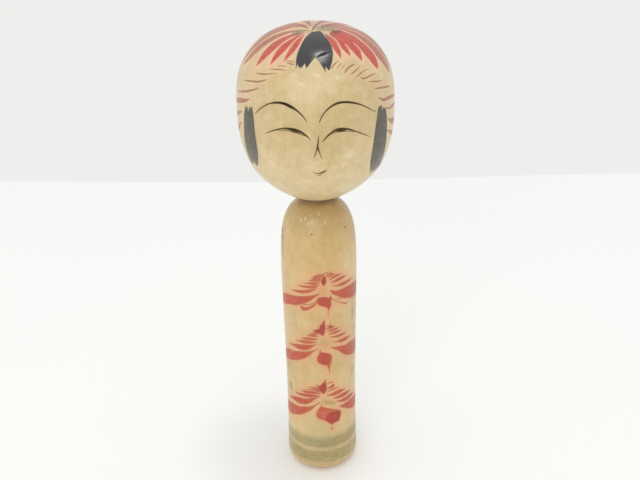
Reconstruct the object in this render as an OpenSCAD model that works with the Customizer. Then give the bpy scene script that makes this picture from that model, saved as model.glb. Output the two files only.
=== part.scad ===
// Turned wooden kokeshi doll: a solid body with a round tenon on its
// shoulder, and a separate head whose blind socket is pushed down over the
// tenon. The head is held by the tightness of the neck alone and can be
// twisted round on it.
// The origin is the centre of the standing face, +Z is up along the lathe
// axis, and the face looks towards -Y.

/* [Head] */
// Largest diameter of the head, at the height of the brows
head_d = 72.2; // [66:0.1:80]
// Height of the head from its seat on the shoulder to the crown
head_h = 81.7; // [76:0.1:94]

/* [Body] */
// Diameter of the body just under the shoulder, its widest place
body_d = 37.8; // [34:0.1:42]
// Height of the body from the floor to the seat, without the tenon
body_h = 158.3; // [138:0.1:172]

/* [Neck joint] */
// Diameter of the round tenon turned on top of the body
tenon_d = 12; // [10:0.5:13]
// Length of the tenon above the seat
tenon_len = 22; // [16:1:28]
// Chamfer round the end of the tenon
tenon_chamfer = 1.2; // [0.6:0.1:2]
// Radial clearance between the tenon and its socket
neck_clear = 0.05; // [0.02:0.01:0.09]
// Clearance between the two flat seat faces
seat_gap = 0.05; // [0.03:0.01:0.1]
// Empty length left over the end of the tenon in the socket
socket_spare = 2; // [1:0.5:4]
// Height of the cone that the drill leaves at the end of the socket
drill_point = 3; // [2:0.5:4]
// Chamfer round the mouth of the socket
mouth_chamfer = 0.8; // [0.4:0.1:1.2]

/* [Underside] */
// Diameter of the shallow hollow turned in the standing face
dish_d = 22; // [16:1:24]
// Depth of that hollow
dish_depth = 0.8; // [0.4:0.1:1.5]
// Diameter of the small pointed centre mark that the lathe leaves in the hollow
centre_d = 3; // [2:0.5:4]
// Depth of the centre mark
centre_depth = 1.2; // [0.8:0.1:2]

/* [Hidden] */
$fn = 144;

// Turned outline of the head: radius as a percentage of half head_d, height
// as a percentage of head_h. It starts at the edge of the flat seat, spreads
// flat under the chin, swells out past the cheeks to the brow and closes flat
// over the crown.
head_shape = [
    [21.9, 0], [35.5, 2.5], [46, 4.6], [66.5, 11.5], [83.5, 20.3], [93.2, 30.1],
    [98.9, 42], [100, 55.5], [98, 69.5], [89.8, 80.3], [74.5, 89.2], [54.5, 95],
    [31, 98.4], [10, 99.8], [0, 100]
];

// Turned outline of the body: radius as a percentage of half body_d, height
// as a percentage of body_h. A rounded foot, a side that is very slightly
// waisted, then the domed shoulder that draws in to the edge of the seat.
body_shape = [
    [78, 0], [89.5, 1], [96.5, 2.1], [99, 3.2], [99.5, 5.2], [98.5, 13],
    [97, 25.9], [97.4, 41.4], [98.6, 55.7], [99.8, 69.9], [100, 76.6], [98.5, 83.8],
    [95, 88.5], [87.8, 92.2], [76.2, 95.2], [62.6, 97], [48.5, 98.5], [41.8, 100]
];

// Short turned bands between two neighbouring outline points
head_steps = 5;
body_steps = 4;

// One point of the smooth curve through b and c, at fraction t between them
function blend(a, b, c, d, t) =
    0.5 * (2*b + (c - a)*t + (2*a - 5*b + 4*c - d)*t*t
           + (3*b - a - 3*c + d)*t*t*t);

// The outline through all points of p, with n bands between each two. The
// curve runs on past its first and last point in a straight line, or is
// mirrored about the axis at its last point where crown is true.
function smooth_outline(p, n, crown) = let (
    k = len(p) - 1,
    before = 2*p[0] - p[1],
    after = crown ? [-p[k-1][0], p[k-1][1]] : 2*p[k] - p[k-1],
    q = concat([before], p, [after])
) concat(
    [for (i = [0:k-1], j = [0:n-1])
        blend(q[i], q[i+1], q[i+2], q[i+3], j/n)],
    [p[k]]
);

// The same outline at its real size
function sized(p, r, h) = [for (v = p) [v[0]/100*r, v[1]/100*h]];

// The turned body block, without its tenon
module body_block() {
    outline = sized(smooth_outline(body_shape, body_steps, false),
                    body_d/2, body_h);
    dish_r = dish_d/2;
    rotate_extrude()
        polygon(concat(
            [[0, dish_depth], [dish_r - 1.5, dish_depth], [dish_r, 0]],
            outline,
            [[0, body_h]]
        ));
}

// The tenon, sunk a little into the block so that the two are one piece
module tenon() {
    r = tenon_d/2;
    translate([0, 0, body_h - 4])
        cylinder(r = r, h = tenon_len + 4 - tenon_chamfer);
    translate([0, 0, body_h + tenon_len - tenon_chamfer])
        cylinder(r1 = r, r2 = r - tenon_chamfer, h = tenon_chamfer);
}

// The hole that the tenon turns in: straight wall, drill cone, eased mouth
module socket() {
    r = tenon_d/2 + neck_clear;
    deep = tenon_len + socket_spare;
    translate([0, 0, -1])
        cylinder(r = r, h = deep + 1);
    translate([0, 0, deep])
        cylinder(r1 = r, r2 = 0, h = drill_point);
    translate([0, 0, -0.01])
        cylinder(r1 = r + mouth_chamfer + 0.01, r2 = r,
                 h = mouth_chamfer + 0.01);
}

module body() {
    color("burlywood")
        difference() {
            union() {
                body_block();
                tenon();
            }
            translate([0, 0, dish_depth - 0.01])
                cylinder(d1 = centre_d, d2 = 0, h = centre_depth + 0.01);
        }
}

module head() {
    outline = sized(smooth_outline(head_shape, head_steps, true),
                    head_d/2, head_h - seat_gap);
    color("tan")
        translate([0, 0, body_h + seat_gap])
            difference() {
                rotate_extrude()
                    polygon(concat([[0, 0]], outline));
                socket();
            }
}

body();
head();
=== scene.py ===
"""Looks of the turned wooden kokeshi doll.

Two wooden pieces stand for the two CAD nodes: the body with its tenon and the
head with its socket. They are turned at a fine pitch from the same outlines as
the CAD part. The painting is a set of thin dye films that lie on the wood: the
radial petals, the forelock, the side locks, the temple strokes, the brushed
face and the three flowers. Each film is a closed sheet of a few hundredths of
a millimetre whose outline follows the brush strokes.
"""
import math

import bpy
import numpy as np
from mathutils import Matrix, Vector


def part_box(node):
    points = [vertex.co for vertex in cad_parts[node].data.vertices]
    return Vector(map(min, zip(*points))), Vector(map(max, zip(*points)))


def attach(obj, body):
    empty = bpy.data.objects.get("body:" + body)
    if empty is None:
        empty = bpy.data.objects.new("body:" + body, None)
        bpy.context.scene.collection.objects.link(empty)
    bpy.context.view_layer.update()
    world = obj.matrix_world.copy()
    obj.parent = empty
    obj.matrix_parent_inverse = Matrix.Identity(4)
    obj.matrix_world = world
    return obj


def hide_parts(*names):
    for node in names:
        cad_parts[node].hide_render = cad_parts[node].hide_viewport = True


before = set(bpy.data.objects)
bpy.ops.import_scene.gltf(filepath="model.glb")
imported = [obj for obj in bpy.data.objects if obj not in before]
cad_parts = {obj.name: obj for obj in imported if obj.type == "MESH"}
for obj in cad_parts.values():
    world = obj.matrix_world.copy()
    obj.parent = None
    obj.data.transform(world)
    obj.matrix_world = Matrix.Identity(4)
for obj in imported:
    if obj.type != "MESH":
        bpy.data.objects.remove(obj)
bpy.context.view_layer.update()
MM = 0.001
scene = bpy.context.scene

# ---------------------------------------------------------------------------
# Sizes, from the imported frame
# ---------------------------------------------------------------------------
body_lo, body_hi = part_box("body")
head_lo, head_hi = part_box("head")
SEAT_GAP = 0.05
BASE = body_lo.z / MM
TENON_TOP = body_hi.z / MM
SEAT_HEAD = head_lo.z / MM
SEAT = SEAT_HEAD - SEAT_GAP
CROWN = head_hi.z / MM

HEAD_SHAPE = [
    (21.9, 0), (35.5, 2.5), (46, 4.6), (66.5, 11.5), (83.5, 20.3), (93.2, 30.1),
    (98.9, 42), (100, 55.5), (98, 69.5), (89.8, 80.3), (74.5, 89.2), (54.5, 95),
    (31, 98.4), (10, 99.8), (0, 100)]
BODY_SHAPE = [
    (78, 0), (89.5, 1), (96.5, 2.1), (99, 3.2), (99.5, 5.2), (98.5, 13),
    (97, 25.9), (97.4, 41.4), (98.6, 55.7), (99.8, 69.9), (100, 76.6), (98.5, 83.8),
    (95, 88.5), (87.8, 92.2), (76.2, 95.2), (62.6, 97), (48.5, 98.5), (41.8, 100)]


def smooth_outline(points, steps, crown):
    """The smooth curve through the outline points, as in the CAD part."""
    p = np.array(points, float)
    last = [-p[-2][0], p[-2][1]] if crown else 2 * p[-1] - p[-2]
    q = np.vstack([2 * p[0] - p[1], p, last])
    out = []
    for i in range(len(p) - 1):
        a, b, c, d = q[i:i + 4]
        for k in range(steps):
            t = k / steps
            out.append(0.5 * (2 * b + (c - a) * t + (2 * a - 5 * b + 4 * c - d) * t * t
                              + (3 * b - a - 3 * c + d) * t ** 3))
    out.append(p[-1])
    return np.array(out)


def sized(points, steps, crown, half_width, low, high):
    p = smooth_outline(points, steps, crown)
    r = p[:, 0] * half_width / p[:, 0].max()
    z = low + p[:, 1] / 100 * (high - low)
    return np.stack([r, z], -1)


HEAD_R = (head_hi.x - head_lo.x) / 2 / MM
BODY_R = (body_hi.x - body_lo.x) / 2 / MM
head_line = sized(HEAD_SHAPE, 60, True, HEAD_R, SEAT_HEAD, CROWN)[::-1]
body_line = sized(BODY_SHAPE, 60, False, BODY_R, BASE, SEAT)


class Outline:
    """A turned outline, read by its arc length from its first point."""

    def __init__(self, line):
        self.line = line
        step = np.hypot(*np.diff(line, axis=0).T)
        self.s = np.concatenate([[0], np.cumsum(step)])
        tangent = np.gradient(line, self.s, axis=0)
        tangent /= np.hypot(*tangent.T)[:, None]
        self.tangent = tangent

    def at(self, s):
        s = np.clip(s, 0, self.s[-1])
        r = np.interp(s, self.s, self.line[:, 0])
        z = np.interp(s, self.s, self.line[:, 1])
        tr = np.interp(s, self.s, self.tangent[:, 0])
        tz = np.interp(s, self.s, self.tangent[:, 1])
        return r, z, tr, tz


HEAD = Outline(head_line)      # from the crown down to the seat
BODY = Outline(body_line)      # from the foot up to the seat


def on_head(theta, s, lift):
    """A point on the head at the angle theta from the face, s mm from the crown."""
    r, z, tr, tz = HEAD.at(s)
    nr, nz = -tz, tr
    flip = np.where((nr < 0) & (nz < 0), -1, 1)
    nr, nz = nr * flip, nz * flip
    x, y = np.sin(theta), -np.cos(theta)
    n = np.stack([nr * x, nr * y, nz], -1)
    p = np.stack([r * x, r * y, z], -1)
    return p + n * lift, n


def on_body(theta, height, lift):
    """A point on the side of the body at the angle theta from the front."""
    s = np.interp(height, BODY.line[:, 1], BODY.s)
    r, z, tr, tz = BODY.at(s)
    nr, nz = tz, -tr
    x, y = np.sin(theta), -np.cos(theta)
    n = np.stack([nr * x, nr * y, nz], -1)
    p = np.stack([r * x, r * y, z], -1)
    return p + n * lift, n


# The three flat charts that the painting is drawn in, all in millimetres.
# crown: seen from above, distances from the crown are true
# face: x round the head at its widest, y down from the crown
# body: x round the body, y up from the floor
FACE_R = 36.1
SIDE_R = 18.6


def crown_place(q, lift):
    return on_head(np.arctan2(q[:, 0], -q[:, 1]), np.hypot(q[:, 0], q[:, 1]), lift)


def face_place(q, lift):
    return on_head(q[:, 0] / FACE_R, q[:, 1], lift)


def body_place(q, lift):
    return on_body(q[:, 0] / SIDE_R, q[:, 1], lift)


PLACES = {"crown": crown_place, "face": face_place, "body": body_place}

# ---------------------------------------------------------------------------
# The painting. A brush stroke is a row of (x, y, width); an area is a row of
# (x, y). Everything is in the charts above.
# ---------------------------------------------------------------------------
PAINT = {
    "crown": {
        "red": [
            # petals left of the forelock
            [(-6.04, -8.86, 0.74), (-10.27, -7.91, 2.25), (-14.37, -8.18, 4.1), (-18.64, -8.8, 5.0), (-22.76, -9.6, 5.4), (-26.3, -10.2, 5.2), (-30.36, -10.6, 4.2), (-33.72, -10.3, 2.7), (-36.54, -9.71, 0.3)],
            [(-6.06, -10.93, 0.85), (-9.45, -11.95, 2.2), (-12.72, -13.17, 3.6), (-16.11, -14.8, 4.9), (-19.26, -16.56, 5.4), (-22.21, -18.14, 4.9), (-24.93, -19.43, 3.4), (-27, -20.22, 1.9), (-28.8, -20.38, 0.25)],
            [(-4.99, -11.98, 0.7), (-7.87, -14.38, 1.9), (-10.32, -16.8, 3.1), (-12.87, -18.88, 4.1), (-15.07, -20.86, 4.1), (-17.47, -22.9, 3.1), (-19.29, -24.42, 1.8), (-21.08, -25.65, 0.25)],
            [(-4.61, -13.36, 0.86), (-6.31, -16.43, 2.2), (-7.97, -19.49, 3.1), (-9.7, -22.39, 3.15), (-11.48, -24.52, 2.5), (-12.88, -25.96, 1.5), (-14.44, -27.31, 0.25)],
            # petals right of the forelock
            [(5.11, -13.29, 1.2), (6.53, -16.11, 2.39), (7.97, -19.08, 3.2), (9.26, -21.44, 3.26), (10.41, -23.6, 2.7), (11.31, -25.44, 1.5), (11.86, -27.27, 0.25)],
            [(7.67, -11.58, 2.38), (9.82, -15.49, 4.6), (12.05, -18.37, 4.7), (13.77, -20.74, 3.6), (15.08, -22.73, 2.1), (16.32, -24.63, 0.25)],
            [(9.53, -9.68, 4.05), (12.26, -12.73, 6.1), (15.27, -15.96, 6.4), (17.63, -18.27, 5.5), (19.58, -20.43, 4.3), (21.01, -22.32, 2.4), (22.19, -24.06, 0.25)],
            [(12.35, -7.48, 4), (15.7, -9.67, 6.3), (18.81, -11.82, 7.5), (22.1, -14.15, 7.5), (24.86, -16.08, 7.2), (27.47, -17.78, 6.2), (29.83, -19.5, 3.9), (31.62, -20.87, 0.3)],
            [(9.09, -3.9, 1.73), (13.95, -4.3, 4.4), (18.53, -5.6, 5.9), (22.98, -7.6, 7.2), (26.56, -9.2, 7.9), (30.17, -10.1, 8.2), (33.79, -10.6, 7.6), (37.51, -10.8, 5.4), (40.91, -10.9, 0.4)],
            [(3.98, -3.1, 1.3), (8.4, -1.5, 2.9), (12.92, -0.5, 4.4), (17.9, -0.6, 5.4), (22.3, -1.6, 6.1), (26.6, -2.8, 6.4), (31.2, -3.4, 6.2), (35.7, -3.6, 5), (39.5, -3.6, 3), (43, -3.6, 0.3)],
            # petals towards the back
            [(3.19, -5.71, 0.57), (7.01, -3.43, 1.77), (13.8, -1.78, 4.66), (19.85, -0.02, 6.41), (25.87, 2.31, 7.83), (31.81, 6.15, 6.58), (37.3, 10.35, 3.82), (41.41, 14.28, 0.27)],
            [(2.75, -4.39, 0.54), (7.75, 0, 2.51), (13.32, 6.03, 4.87), (18.62, 12.43, 6.36), (23.37, 19.01, 6.79), (27.76, 25.77, 4.87), (30.87, 31.62, 0.27)],
            [(1.12, -3.58, 0.52), (3.31, 2.71, 2.75), (6.24, 10.38, 5.09), (9.16, 18.79, 6.58), (11.81, 27.56, 6.79), (13.91, 36.16, 4.66), (15.01, 43.28, 0.27)],
            [(-1.59, -4.06, 0.54), (-2.86, 2.45, 2.7), (-4.42, 10.5, 5.09), (-6.24, 19.09, 6.58), (-8.16, 27.86, 6.79), (-10.17, 36.27, 4.66), (-12.18, 43.4, 0.27)],
            [(-2.86, -5.14, 0.55), (-6.67, 0.18, 2.46), (-11.42, 6.57, 4.87), (-16.36, 12.97, 6.36), (-21.29, 19.37, 6.79), (-25.86, 25.77, 4.87), (-29.52, 31.43, 0.27)],
            [(-3.03, -7.22, 0.46), (-5.39, -3.14, 2.13), (-9.94, 0.2, 4.64), (-15.61, 2.8, 6.31), (-22.01, 5.54, 6.99), (-28.59, 8.46, 6.58), (-34.62, 11.93, 4.25), (-39.37, 15.41, 0.27)],
            [(-2.47, -6.89, 0.63), (-5.2, -3, 3.2), (-8.6, -0.4, 6.4), (-12.3, 0.2, 7.8), (-16, 0, 8), (-19.8, -0.9, 7.8), (-23.5, -2.5, 6.8), (-27.3, -3.9, 5.6), (-31.4, -4.8, 4.2), (-35.4, -5.5, 2.2), (-38.5, -6, 0.3)],
        ],
        "gap": [
            [(5.48, -12.35, 0.31), (7.81, -14.53, 0.5), (9.8, -17.5, 0.45), (11.19, -20.42, 0.41), (12.11, -23.14, 0.34)],
            [(13.73, -18.28, 0.27), (14.97, -19.51, 0.44), (15.74, -21.74, 0.4)],
            [(17.58, -15.22, 0.27), (19.6, -16.67, 0.5), (21.14, -18.47, 0.5), (21.71, -20.43, 0.38)],
            [(8.7, -4.9, 0.6), (13.86, -6.88, 0.8), (18.02, -8.48, 0.8), (22.04, -10.9, 0.8), (26.52, -13, 0.85), (29.7, -14.6, 0.72)],
            [(8.6, -2.6, 0.3), (14, -2.4, 0.5), (19, -3.2, 0.5), (24, -4.6, 0.5), (29, -6, 0.5), (34, -7.1, 0.4)],
        ],
        "green": [
            [(-0.6, -6.7), (2.2, -4.3), (6.4, -3.5), (11.4, -5.6), (13, -9.4), (9.4, -12.2), (5.4, -10.4), (1.2, -9.6)],
            [(-9.8, -8.6), (-6.6, -7), (-3, -8.8), (-4.2, -12.4), (-8, -13.6), (-10.2, -11.6)],
        ],
        "gash": [
            [(1, -27.9, 0.5), (2.4, -27, 1.3), (4.2, -26.1, 1.6), (5.8, -25.1, 0.8), (8, -24, 0.3)],
        ],
        "olive": [
            [(-0.86, -10.25, 0.45), (-0.24, -6.99, 0.72), (0.67, -3.22, 0.78), (2.66, 0.2, 0.41)],
            [(-1.22, -10.72, 0.28), (-3.02, -9.36, 0.53), (-5.53, -8.47, 0.27)],
        ],
        "black": [
            [(-2.11, -12.61), (-3.96, -15.89), (-5.34, -19.24), (-6.27, -21.62), (-7.26, -24.31), (-8.07, -26.84), (-8.38, -28.7), (-8.9, -32.46), (-7.92, -30.43), (-7.12, -32.42), (-6.53, -31.75), (-6.35, -32.58), (-5.34, -31.54), (-4.42, -30.61), (-4.24, -31.71), (-4.05, -32.88), (-2.62, -31.51), (-1.17, -29.67), (0.28, -28.17), (1.48, -29.48), (2.84, -31.31), (4.27, -33.45), (5.1, -34.71), (4.96, -32.07), (5.88, -33.11), (6.72, -33.67), (7.07, -33.13), (7.44, -31.49), (7.9, -29.59), (8.11, -27.68), (8.24, -25.61), (7.94, -23.46), (7.31, -20.87), (5.96, -17.43), (4.66, -14.52), (3.43, -11.51), (2.63, -10.17), (0.39, -10.61), (-1.22, -11.41)],
        ],
    },
    "face": {
        "temple": [
            [(8.44, 33.72, 0.19), (9.6, 32.3, 0.57), (13.24, 30.23, 0.19)],
            [(10.77, 33.97, 0.09), (12.52, 32.76, 0.38), (14.5, 31.56, 0.18)],
            [(13.29, 34.06, 0.09), (14.73, 33.22, 0.28), (16.19, 32.39, 0.09)],
            [(14.38, 36.29, 0.18), (15.73, 35.08, 0.54), (17.79, 33.94, 0.63), (19.91, 33.32, 0.64), (21.9, 33.01, 0.18)],
            [(17.27, 37.25, 0.18), (19.76, 36.32, 0.46), (21.88, 35.46, 0.46), (23.91, 34.71, 0.18)],
            [(19.61, 38.74, 0.18), (21.98, 37.92, 0.45), (24.97, 36.88, 0.36), (28.93, 36.66, 0.18)],
            [(22.7, 39.13, 0.28), (23.4, 39.73, 0.52), (25.46, 39.88, 0.63), (28.34, 39.49, 0.52), (32.93, 39.19, 0.17)],
            [(26.12, 41.49, 0.18), (29.86, 42.34, 0.54), (33.42, 42.96, 0.54), (36.02, 43.14, 0.18)],
            [(29.55, 45.3, 0.27), (32.36, 45.72, 0.7), (36.41, 46.42, 0.89), (39.46, 46.92, 0.73), (42.97, 47.71, 0.26)],
            [(31.19, 49.39, 0.26), (32.92, 50.75, 0.88), (35.77, 51.71, 1.36), (40.43, 52.06, 1.55), (45.09, 52.76, 1.57), (49.21, 53.67, 1.1), (52.86, 54.3, 0.27)],
            [(36.17, 55.44, 0.27), (40.22, 56.85, 1.09), (44.53, 57.09, 1.58), (48.64, 57.59, 1.61), (53.21, 58.04, 1.01), (56.87, 58.68, 0.27)],
            [(38.56, 61.2, 0.26), (42.05, 62.96, 1.82), (46.11, 64.63, 2.89), (50.68, 64.99, 2.56), (55.7, 65.09, 0.37)],
            [(38.53, 66.61, 0.35), (42.38, 68.44, 1.52), (46.31, 70.51, 2.08), (50.88, 71.7, 1.74), (54.99, 72.43, 0.37)],
            [(-15.89, 30.05, 0.18), (-13.08, 30.2, 0.36), (-10.45, 30.56, 0.18)],
            [(-15.2, 30.92, 0.18), (-12.77, 31.38, 0.55), (-10.78, 31.59, 0.18)],
            [(-19.82, 32.76, 0.18), (-17.18, 32.7, 0.35), (-14.52, 32.82, 0.19)],
            [(-24.52, 34.8, 0.19), (-20.3, 34.52, 0.45), (-17.51, 34.25, 0.45), (-14.86, 34.49, 0.18)],
            [(-31.99, 38.07, 0.18), (-27.78, 37.61, 0.65), (-24.69, 37.18, 0.54), (-19.64, 36.11, 0.18)],
            [(-39.9, 42.9, 0.27), (-34.8, 42.07, 0.75), (-29.66, 41.31, 0.81), (-26.56, 40.49, 0.63), (-23.59, 39.28, 0.18)],
            [(-46.08, 49.5, 0.27), (-41.84, 48.41, 0.82), (-36.61, 47.02, 1.01), (-32.76, 45.72, 0.81), (-29.68, 44.62, 0.46), (-28.25, 43.52, 0.18)],
            [(-33.3, 49.65, 0.27), (-37.08, 51.17, 1.62), (-42.36, 52.56, 2.26), (-47.45, 54.06, 2.01), (-53.39, 54.97, 0.37)],
            [(-40.51, 57.01, 0.27), (-44.12, 58.58, 1.54), (-48.24, 60.3, 1.99), (-52.81, 61.31, 1.37), (-56.46, 62.04, 0.27)],
            [(-41.94, 62.55, 0.27), (-44.41, 64.26, 1.54), (-47.16, 66.5, 1.95), (-51.28, 68.33, 1.37), (-54.48, 69.43, 0.27)],
        ],
        "line": [
            # brows
            [(-29.18, 55.05, 0.27), (-26.13, 52.37, 0.45), (-23.21, 50.33, 0.5), (-20.63, 49.03, 0.57), (-18.03, 48.34, 0.83), (-15.67, 48.09, 0.99), (-13.29, 48.34, 1.17), (-10.99, 49.17, 1.24), (-8.79, 50.25, 0.89), (-6.69, 51.86, 0.67), (-4.96, 53.74, 0.47), (-3.88, 55.56, 0.18)],
            [(1.45, 55.8, 0.31), (2.36, 53.7, 0.46), (3.9, 51.44, 0.51), (6.1, 49.58, 0.71), (8.3, 48.45, 0.84), (10.59, 47.99, 0.92), (13.32, 48.09, 0.92), (16.12, 48.7, 0.82), (19, 49.69, 0.68), (22.03, 51.17, 0.52), (25.34, 53.19, 0.4), (29.03, 55.44, 0.18)],
            # upper lids
            [(-23.78, 62.99, 0.13), (-20.89, 61.46, 0.41), (-18.32, 60.37, 0.54), (-15.82, 59.48, 0.64), (-13.49, 58.99, 0.75), (-11.24, 58.99, 1.01), (-8.99, 59.18, 1.07), (-6.82, 59.85, 0.91), (-5.2, 60.9, 0.85), (-3.49, 62.28, 0.54), (-2.32, 63.81, 0.18)],
            [(2.58, 64.48, 0.23), (3.75, 63.18, 0.49), (5.02, 61.84, 0.67), (6.28, 60.86, 0.77), (7.64, 59.96, 0.84), (8.91, 59.48, 0.92), (10.71, 59.33, 0.93), (12.5, 59.59, 0.88), (14.82, 60.26, 0.75), (17.22, 61.35, 0.52), (19.78, 62.62, 0.44), (22.49, 64.11, 0.35), (25.45, 65.73, 0.14)],
            # nose
            [(0.99, 61.8, 0.18), (0.89, 63.63, 0.45), (0.62, 65.37, 0.62), (0.44, 67.05, 0.75), (-0, 68.62, 0.44), (-0.53, 70.3, 0.39), (-1.14, 71.79, 0.18)],
            [(0.53, 66.32, 0.54), (0.97, 68.23, 0.53), (1.49, 70.1, 0.4), (2.28, 72.37, 0.18)],
        ],
        "fine": [
            # lower lids and pupils
            [(-17.78, 60.41, 0.13), (-14.91, 60.08, 0.38), (-12.13, 59.85, 0.37), (-10.32, 60.15, 0.41), (-8.61, 60.56, 0.41), (-6.9, 60.94, 0.42), (-5.19, 61.65, 0.36), (-3.93, 62.1, 0.18)],
            [(6.55, 61.05, 0.14), (8.08, 60.71, 0.41), (10.24, 60.52, 0.37), (12.48, 60.71, 0.42), (14.8, 61.09, 0.36), (17.21, 61.61, 0.32), (18.72, 62.06, 0.14)],
            [(-10.96, 59.63, 0.72), (-9.88, 59.78, 1.11), (-8.62, 60.08, 1.15), (-6.64, 60.49, 0.67)],
            [(8.45, 59.89, 0.71), (9.62, 60.04, 1.27), (11.14, 60.11, 1.31), (12.76, 60.26, 0.75)],
        ],
        "lip": [
            [(-2.16, 78.94, 0.22), (-0.95, 79.94, 0.5), (0.5, 80.31, 0.62), (1.88, 80.03, 0.95), (3.08, 79.5, 1.1), (4.21, 78.68, 0.6)],
            [(-0.27, 81.22, 0.22), (1.18, 81.49, 0.43), (2.13, 80.76, 0.23)],
        ],
        "lock": [
            [(-38.17, 57.12), (-37.56, 55.64), (-36.49, 52.76), (-35.94, 54.06), (-34.78, 53.11), (-34.41, 55.48), (-33.16, 52.68), (-32.44, 53.43), (-31.37, 52.29), (-30.9, 53.94), (-30.32, 57.4), (-30.08, 60.97), (-29.86, 64.63), (-29.66, 68.3), (-29.61, 71.69), (-30.33, 75.4), (-32.13, 79.72), (-34.53, 82.34), (-35.54, 81.72), (-35.9, 80.15), (-37.34, 81.57), (-38.4, 82.66), (-39.37, 81.28), (-40.46, 83.77), (-41.3, 82.05), (-41.84, 80.58), (-41.44, 76.98), (-41.27, 73.83), (-40.46, 70.03), (-39.46, 65.48), (-38.73, 60.52)],
            [(30.58, 54.14), (31.21, 53.55), (33.38, 53.47), (33.46, 55.8), (34.91, 54.57), (36.35, 56.11), (36.98, 56.11), (37.13, 57.7), (37.96, 60.75), (38.27, 64.55), (38.58, 68.48), (39.32, 72.61), (40.09, 76.39), (40.66, 79.75), (40.77, 82.84), (42.23, 85.67), (38.75, 86.35), (35.93, 86.52), (35.38, 87.19), (32.14, 85.31), (33.02, 87.86), (30.65, 85.06), (28.43, 80.37), (27.71, 76.39), (27.65, 72.27), (27.89, 68.44), (28.26, 64.89), (28.91, 61.35), (29.61, 57.93), (30.2, 55.36)],
        ],
    },
    "body": {
        "red": [
            # top flower, left side
            [(-34.87, 101.59, 0.74), (-32.48, 101.4, 3.29), (-28.67, 101.88, 4.66), (-23.9, 103.12, 5.54), (-17.89, 105.74, 5.56), (-13.7, 106.8, 5.31), (-9.71, 108.23, 4.45), (-6.2, 109.71, 3.31), (-3.55, 111.17, 1.94), (-1.37, 112.34, 0.78), (0.14, 113.27, 0.2)],
            [(-14.65, 112.61, 0.28), (-12.19, 112.77, 1), (-9.73, 113.11, 1.63), (-6.59, 113.89, 1.83), (-4.06, 114.78, 1.5), (-2.42, 115.57, 0.83), (-1.33, 116.27, 0.18)],
            [(-10.79, 116.26, 0.26), (-8.92, 116.4, 0.84), (-6.51, 116.55, 1.33), (-4.01, 116.76, 1.68), (-2.39, 117.08, 1.47), (-0.79, 117.73, 0.61), (-0.1, 118.14, 0.18)],
            [(-7.31, 118.46, 0.25), (-5.62, 118.62, 0.69), (-3.97, 118.73, 1.37), (-2.36, 118.85, 1.61), (-0.76, 119.03, 0.86), (0.28, 119.39, 0.18)],
            [(-4.96, 120.24, 0.24), (-3.32, 120.6, 1.11), (-1.33, 120.6, 1.3), (0.84, 120.01, 0.31)],
            [(-3.83, 121.66, 0.19), (-2.1, 121.87, 1.05), (-0.32, 121.61, 1.17), (1.34, 121, 0.25)],
            [(-2.88, 122.74, 0.26), (-1.28, 122.99, 1.11), (0.3, 122.7, 1.02), (1.75, 121.98, 0.25)],
            [(-0.67, 123.81, 0.32), (0.59, 123.6, 0.96), (1.89, 123.07, 0.75), (2.8, 122.7, 0.25)],
            # top flower, right side
            [(2.88, 122.33, 0.39), (4.11, 123.27, 0.86), (5.44, 123.96, 0.99), (6.69, 123.43, 0.61)],
            [(3.79, 121.57, 0.26), (5.12, 122.46, 0.95), (6.69, 123.06, 0.96), (7.9, 123.05, 0.27)],
            [(4.96, 120.46, 0.32), (7, 121.52, 1.32), (9.01, 122.11, 1.2), (11.04, 122.3, 0.27)],
            [(5.69, 118.66, 0.26), (7.84, 119.19, 1.33), (10.13, 119.73, 1.85), (12.38, 120.06, 1.26), (14.12, 120.12, 0.21)],
            [(6.17, 116.97, 0.25), (9.17, 116.33, 0.76), (11.18, 116.33, 1.82), (13.7, 116.35, 1.91), (16.25, 116.37, 1.24), (19.23, 116.05, 0.24)],
            [(5.24, 114.79, 0.19), (6.19, 113.72, 1.38), (7.61, 112.61, 2.27), (9.68, 111.84, 3.33), (11.86, 111.23, 4.91), (14.69, 110.51, 6.49), (18.17, 109.76, 7.52), (22.54, 108.63, 8.18), (27.31, 107.96, 7.94), (32.08, 107.2, 6.75), (36.37, 106.63, 3.76), (38.76, 106.44, 0.74)],
            # top flower, loops and drop
            [(-9.59, 104.37, 1.14), (-8.59, 103.67, 2), (-6.89, 103.87, 1.85), (-4.72, 105.01, 1.38), (-2.62, 106.61, 1.06), (-1.04, 108.45, 0.67)],
            [(-9.09, 105.29, 0.25), (-6.81, 106.45, 0.46), (-4.67, 106.85, 0.41), (-2.38, 108.02, 0.39), (-0.93, 109.88, 0.38)],
            [(5.53, 110.78, 0.49), (5.9, 109.43, 0.49), (7.04, 108.44, 0.34), (9.59, 106.91, 0.34), (12.52, 104.99, 0.51), (14.31, 104.27, 0.6), (15.54, 104.64, 0.27)],
            [(7.32, 109.45, 0.2), (9.59, 108.66, 0.3), (12.14, 107.81, 0.2)],
            [(5.05, 109.37, 1.25), (5.34, 110.59, 0.62), (5.53, 111.6, 0.19)],
            [(4.3, 103.11, 0.28), (4.2, 101.15, 0.19), (4.11, 98.97, 0.14)],
            # middle flower, left side
            [(-5.35, 89.29, 0.26), (-3.62, 89.82, 1.12), (-1.94, 89.85, 1.34), (-0.62, 89.47, 0.33)],
            [(-6.93, 87.88, 0.26), (-5.16, 88.37, 0.93), (-3.02, 88.43, 1.35), (-1.06, 88.17, 0.27)],
            [(-10.06, 85.63, 0.27), (-7.9, 86.1, 1.34), (-5.65, 86.33, 1.69), (-3.07, 86.52, 1.22), (-1.3, 86.41, 0.27)],
            [(-13.33, 82.98, 0.27), (-10.89, 83.57, 1.09), (-8.44, 83.94, 1.84), (-5.71, 84.3, 1.89), (-3.32, 84.53, 1.01), (-2.05, 84.62, 0.27)],
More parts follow.
